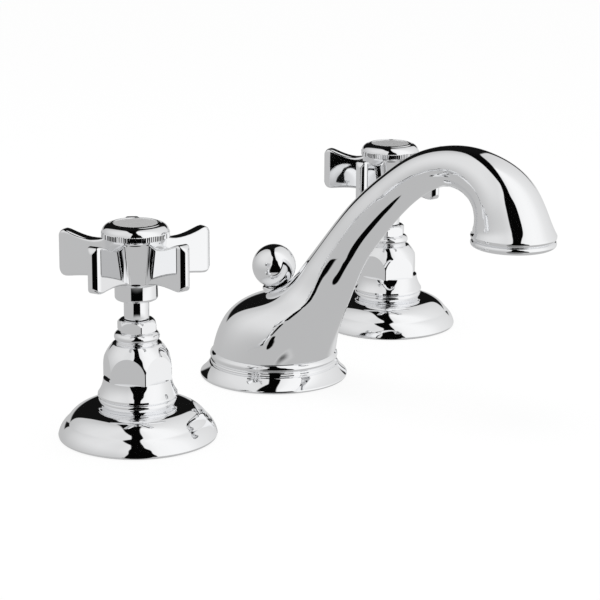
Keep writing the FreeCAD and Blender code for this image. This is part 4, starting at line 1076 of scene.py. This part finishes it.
# Where the floor gives way to the left panel, to the right panel, and one side to the other: angle and
# softness in degrees
LEFT_HORIZON = (8, 30)
RIGHT_HORIZON = (-24, 3)
SIDE_CHANGE = (3, 30)
FLOOR_SHADE = 0.72
# Turns in degrees
QUARTER, HALF, FULL = 90, 180, 360


def turn_share(degrees):
    """Share of the way round from -180 to 180 degrees."""
    return (degrees + HALF) / FULL


def turn_share_node(tree, degrees):
    """The same share for a socket."""
    return math_node(tree, "DIVIDE", math_node(tree, "ADD", degrees, HALF), FULL)


def curve_node(tree, pitch, points):
    """An edge's turn to the side, which changes smoothly with pitch."""
    curve = tree.nodes.new("ShaderNodeFloatCurve")
    line = curve.mapping.curves[0]
    places = [(turn_share(around), (turn + QUARTER) / HALF) for around, turn in points]
    line.points[0].location = places[0]
    line.points[1].location = places[-1]
    for place in places[1:-1]:
        line.points.new(*place)
    for point in line.points:
        point.handle_type = "AUTO_CLAMPED"
    curve.mapping.update()
    tree.links.new(turn_share_node(tree, pitch), curve.inputs["Value"])
    turned = math_node(tree, "MULTIPLY", curve.outputs["Value"], HALF)
    return math_node(tree, "SUBTRACT", turned, QUARTER)


def azimuth_ramp(tree, azimuth):
    """Shade of the panels by azimuth."""
    ramp = tree.nodes.new("ShaderNodeValToRGB")
    elements = ramp.color_ramp.elements
    middle = [elements.new(turn_share(0)) for _ in PANEL_SHADES[2:]]
    for (degrees, shown), element in zip(PANEL_SHADES, [elements[0]] + middle + [elements[-1]]):
        element.position = turn_share(degrees)
        element.color = (*[linear(shown)] * 3, 1)
    tree.links.new(turn_share_node(tree, azimuth), ramp.inputs["Fac"])
    return ramp.outputs["Color"]


def floor_slit(tree, azimuth, elevation):
    """1 inside the dark slit in the floor before the object."""
    across = math_node(tree, "DIVIDE", math_node(tree, "SUBTRACT", azimuth, SLIT_TURN), SLIT_HALF_WIDTH)
    upward = math_node(tree, "DIVIDE", math_node(tree, "SUBTRACT", elevation, SLIT_RISE), SLIT_HALF_HEIGHT)
    reach = math_node(tree, "ADD", math_node(tree, "MULTIPLY", across, across),
                      math_node(tree, "MULTIPLY", upward, upward))
    return math_node(tree, "SUBTRACT", 1, step_node(tree, reach, 1, SLIT_SOFT_SHARE))


def reflected_studio(tree, studio):
    """What polished surfaces mirror: two tall light panels, the dark gap between them and a grey floor."""
    place = tree.nodes.new("ShaderNodeTexCoord").outputs["Generated"]
    spin = tree.nodes.new("ShaderNodeVectorRotate")
    spin.rotation_type = "Z_AXIS"
    spin.inputs["Angle"].default_value = -studio.camera_azimuth
    tree.links.new(place, spin.inputs["Vector"])
    split = tree.nodes.new("ShaderNodeSeparateXYZ")
    tree.links.new(spin.outputs["Vector"], split.inputs["Vector"])
    right, away, up = split.outputs
    toward = math_node(tree, "MULTIPLY", away, -1)
    azimuth = degrees_node(tree, "ARCTAN2", right, toward)
    elevation = degrees_node(tree, "ARCSINE", up)
    pitch = degrees_node(tree, "ARCTAN2", up, toward)
    across = degrees_node(tree, "ARCSINE", right)

    left_edge, right_edge = (curve_node(tree, pitch, edge) for edge in (GAP_LEFT_EDGE, GAP_RIGHT_EDGE))
    gap = math_node(tree, "MULTIPLY", step_node(tree, across, left_edge, GAP_SOFTNESS),
                    step_node(tree, right_edge, across, GAP_SOFTNESS))
    before = math_node(tree, "MULTIPLY", step_node(tree, toward, 0, FRONT_SOFT_SHARE),
                       step_node(tree, elevation, *GAP_FOOT))
    foot = math_node(tree, "MAXIMUM", before, step_node(tree, elevation, *REAR_FOOT))
    gap = math_node(tree, "MAXIMUM", math_node(tree, "MULTIPLY", gap, foot),
                    floor_slit(tree, azimuth, elevation))
    behind = step_node(tree, pitch, *REAR_CHANGE)
    gap_light = blend_node(tree, behind, linear(GAP_SHADE), linear(REAR_GAP_SHADE))

    side = step_node(tree, azimuth, *SIDE_CHANGE)
    fade = blend_node(tree, side, step_node(tree, elevation, *LEFT_HORIZON),
                      step_node(tree, elevation, *RIGHT_HORIZON))
    lit = blend_node(tree, fade, linear(FLOOR_SHADE), azimuth_ramp(tree, azimuth))
    return blend_node(tree, gap, lit, gap_light)


# Strength at which the backdrop shows as white
WHITE = 1.0


def light_world(scene, studio):
    """White for the camera, the studio for mirrors, and an even light for everything else."""
    world = bpy.data.worlds.new("studio")
    world.use_nodes = True
    scene.world = world
    tree = world.node_tree
    ground = tree.nodes["Background"]
    rays = tree.nodes.new("ShaderNodeLightPath")
    seen = blend_node(tree, rays.outputs["Is Glossy Ray"], studio.surround_level,
                      reflected_studio(tree, studio))
    for kind in ("Is Transmission Ray", "Is Camera Ray"):
        seen = blend_node(tree, rays.outputs[kind], seen, WHITE)
    tree.links.new(seen, ground.inputs["Color"])


# Side of the deck in metres, the share of light that it gives back, and its own glow for the camera
FLOOR_SIZE = 6.0
FLOOR_ALBEDO = 0.16
FLOOR_GLOW = 0.86


def lay_floor(scene):
    """A pale deck that keeps a faint shadow and is see-through from below."""
    bm = bmesh.new()
    bmesh.ops.create_grid(bm, x_segments=1, y_segments=1, size=FLOOR_SIZE / 2)
    mesh = bpy.data.meshes.new("pale_deck")
    bm.to_mesh(mesh)
    bm.free()
    floor = bpy.data.objects.new("pale_deck", mesh)
    scene.collection.objects.link(floor)
    material = bpy.data.materials.new("pale_deck")
    material.use_nodes = True
    tree = material.node_tree
    tree.nodes.clear()
    dull = tree.nodes.new("ShaderNodeBsdfDiffuse")
    dull.inputs["Color"].default_value = (FLOOR_ALBEDO, FLOOR_ALBEDO, FLOOR_ALBEDO, 1)
    glow = tree.nodes.new("ShaderNodeEmission")
    rays = tree.nodes.new("ShaderNodeLightPath")
    strength = math_node(tree, "MULTIPLY", rays.outputs["Is Camera Ray"], FLOOR_GLOW)
    tree.links.new(strength, glow.inputs["Strength"])
    both = tree.nodes.new("ShaderNodeAddShader")
    tree.links.new(dull.outputs[0], both.inputs[0])
    tree.links.new(glow.outputs[0], both.inputs[1])
    clear = tree.nodes.new("ShaderNodeBsdfTransparent")
    facing = tree.nodes.new("ShaderNodeNewGeometry")
    mix = tree.nodes.new("ShaderNodeMixShader")
    tree.links.new(facing.outputs["Backfacing"], mix.inputs[0])
    tree.links.new(both.outputs[0], mix.inputs[1])
    tree.links.new(clear.outputs[0], mix.inputs[2])
    output = tree.nodes.new("ShaderNodeOutputMaterial")
    tree.links.new(mix.outputs[0], output.inputs["Surface"])
    mesh.materials.append(material)
    floor.visible_glossy = False


# Camera's sensor in millimetres, and its nearest view and the lamp's size and height in metres
SENSOR_WIDTH = 36
NEAREST_VIEW = 0.01
LAMP_SIZE = 0.6
LAMP_HEIGHT = 1.0


class MIXER_OT_stage(bpy.types.Operator):
    """Set the camera, the lamp, the surroundings and the deck"""

    bl_idname = "mixer.stage"
    bl_label = "Stage"

    def execute(self, context):
        scene = context.scene
        studio = scene.mixer_studio
        place, right, up, back = camera_axes(studio)
        lens = bpy.data.cameras.new("front_camera")
        lens.lens = studio.camera_lens
        lens.sensor_width = SENSOR_WIDTH
        lens.clip_start = NEAREST_VIEW
        camera = bpy.data.objects.new("front_camera", lens)
        rows = Matrix((right, up, back)).transposed().to_4x4()
        camera.matrix_world = Matrix.Translation(place) @ rows
        scene.collection.objects.link(camera)
        scene.camera = camera
        lamp = bpy.data.lights.new("overhead_lamp", "AREA")
        lamp.shape = "DISK"
        lamp.size = LAMP_SIZE
        lamp.energy = studio.lamp_power
        holder = bpy.data.objects.new("overhead_lamp", lamp)
        holder.location = (0, 0, LAMP_HEIGHT)
        holder.visible_glossy = False
        scene.collection.objects.link(holder)
        light_world(scene, studio)
        lay_floor(scene)
        scene.view_settings.view_transform = "Standard"
        return {"FINISHED"}


SETTINGS = (("mixer_finish", MixerFinish), ("mixer_handle", MixerHandle), ("mixer_studio", MixerStudio))
STEPS = (MIXER_OT_stage, MIXER_OT_finishes, MIXER_OT_escutcheons, MIXER_OT_bonnets, MIXER_OT_handles,
         MIXER_OT_caps, MIXER_OT_spout, MIXER_OT_spout_rings, MIXER_OT_lift)


class MIXER_PT_panel(bpy.types.Panel):
    """Lists the steps and their settings"""

    bl_idname = "MIXER_PT_panel"
    bl_label = "Basin Mixer"
    bl_space_type = "VIEW_3D"
    bl_region_type = "UI"
    bl_category = "Mixer"

    def draw(self, context):
        for name, _ in SETTINGS:
            group = getattr(context.scene, name)
            box = self.layout.box()
            for key in group.__annotations__:
                box.prop(group, key)
        for step in STEPS:
            self.layout.operator(step.bl_idname)


def register():
    for name, group in SETTINGS:
        bpy.utils.register_class(group)
        setattr(bpy.types.Scene, name, bpy.props.PointerProperty(type=group))
    for kind in (*STEPS, MIXER_PT_panel):
        bpy.utils.register_class(kind)


def unregister():
    for kind in (MIXER_PT_panel, *reversed(STEPS)):
        bpy.utils.unregister_class(kind)
    for name, group in reversed(SETTINGS):
        delattr(bpy.types.Scene, name)
        bpy.utils.unregister_class(group)


def main():
    """Build everything."""
    register()
    for step in STEPS:
        group, name = step.bl_idname.split(".")
        getattr(getattr(bpy.ops, group), name)()


if __name__ == "__main__":
    main()
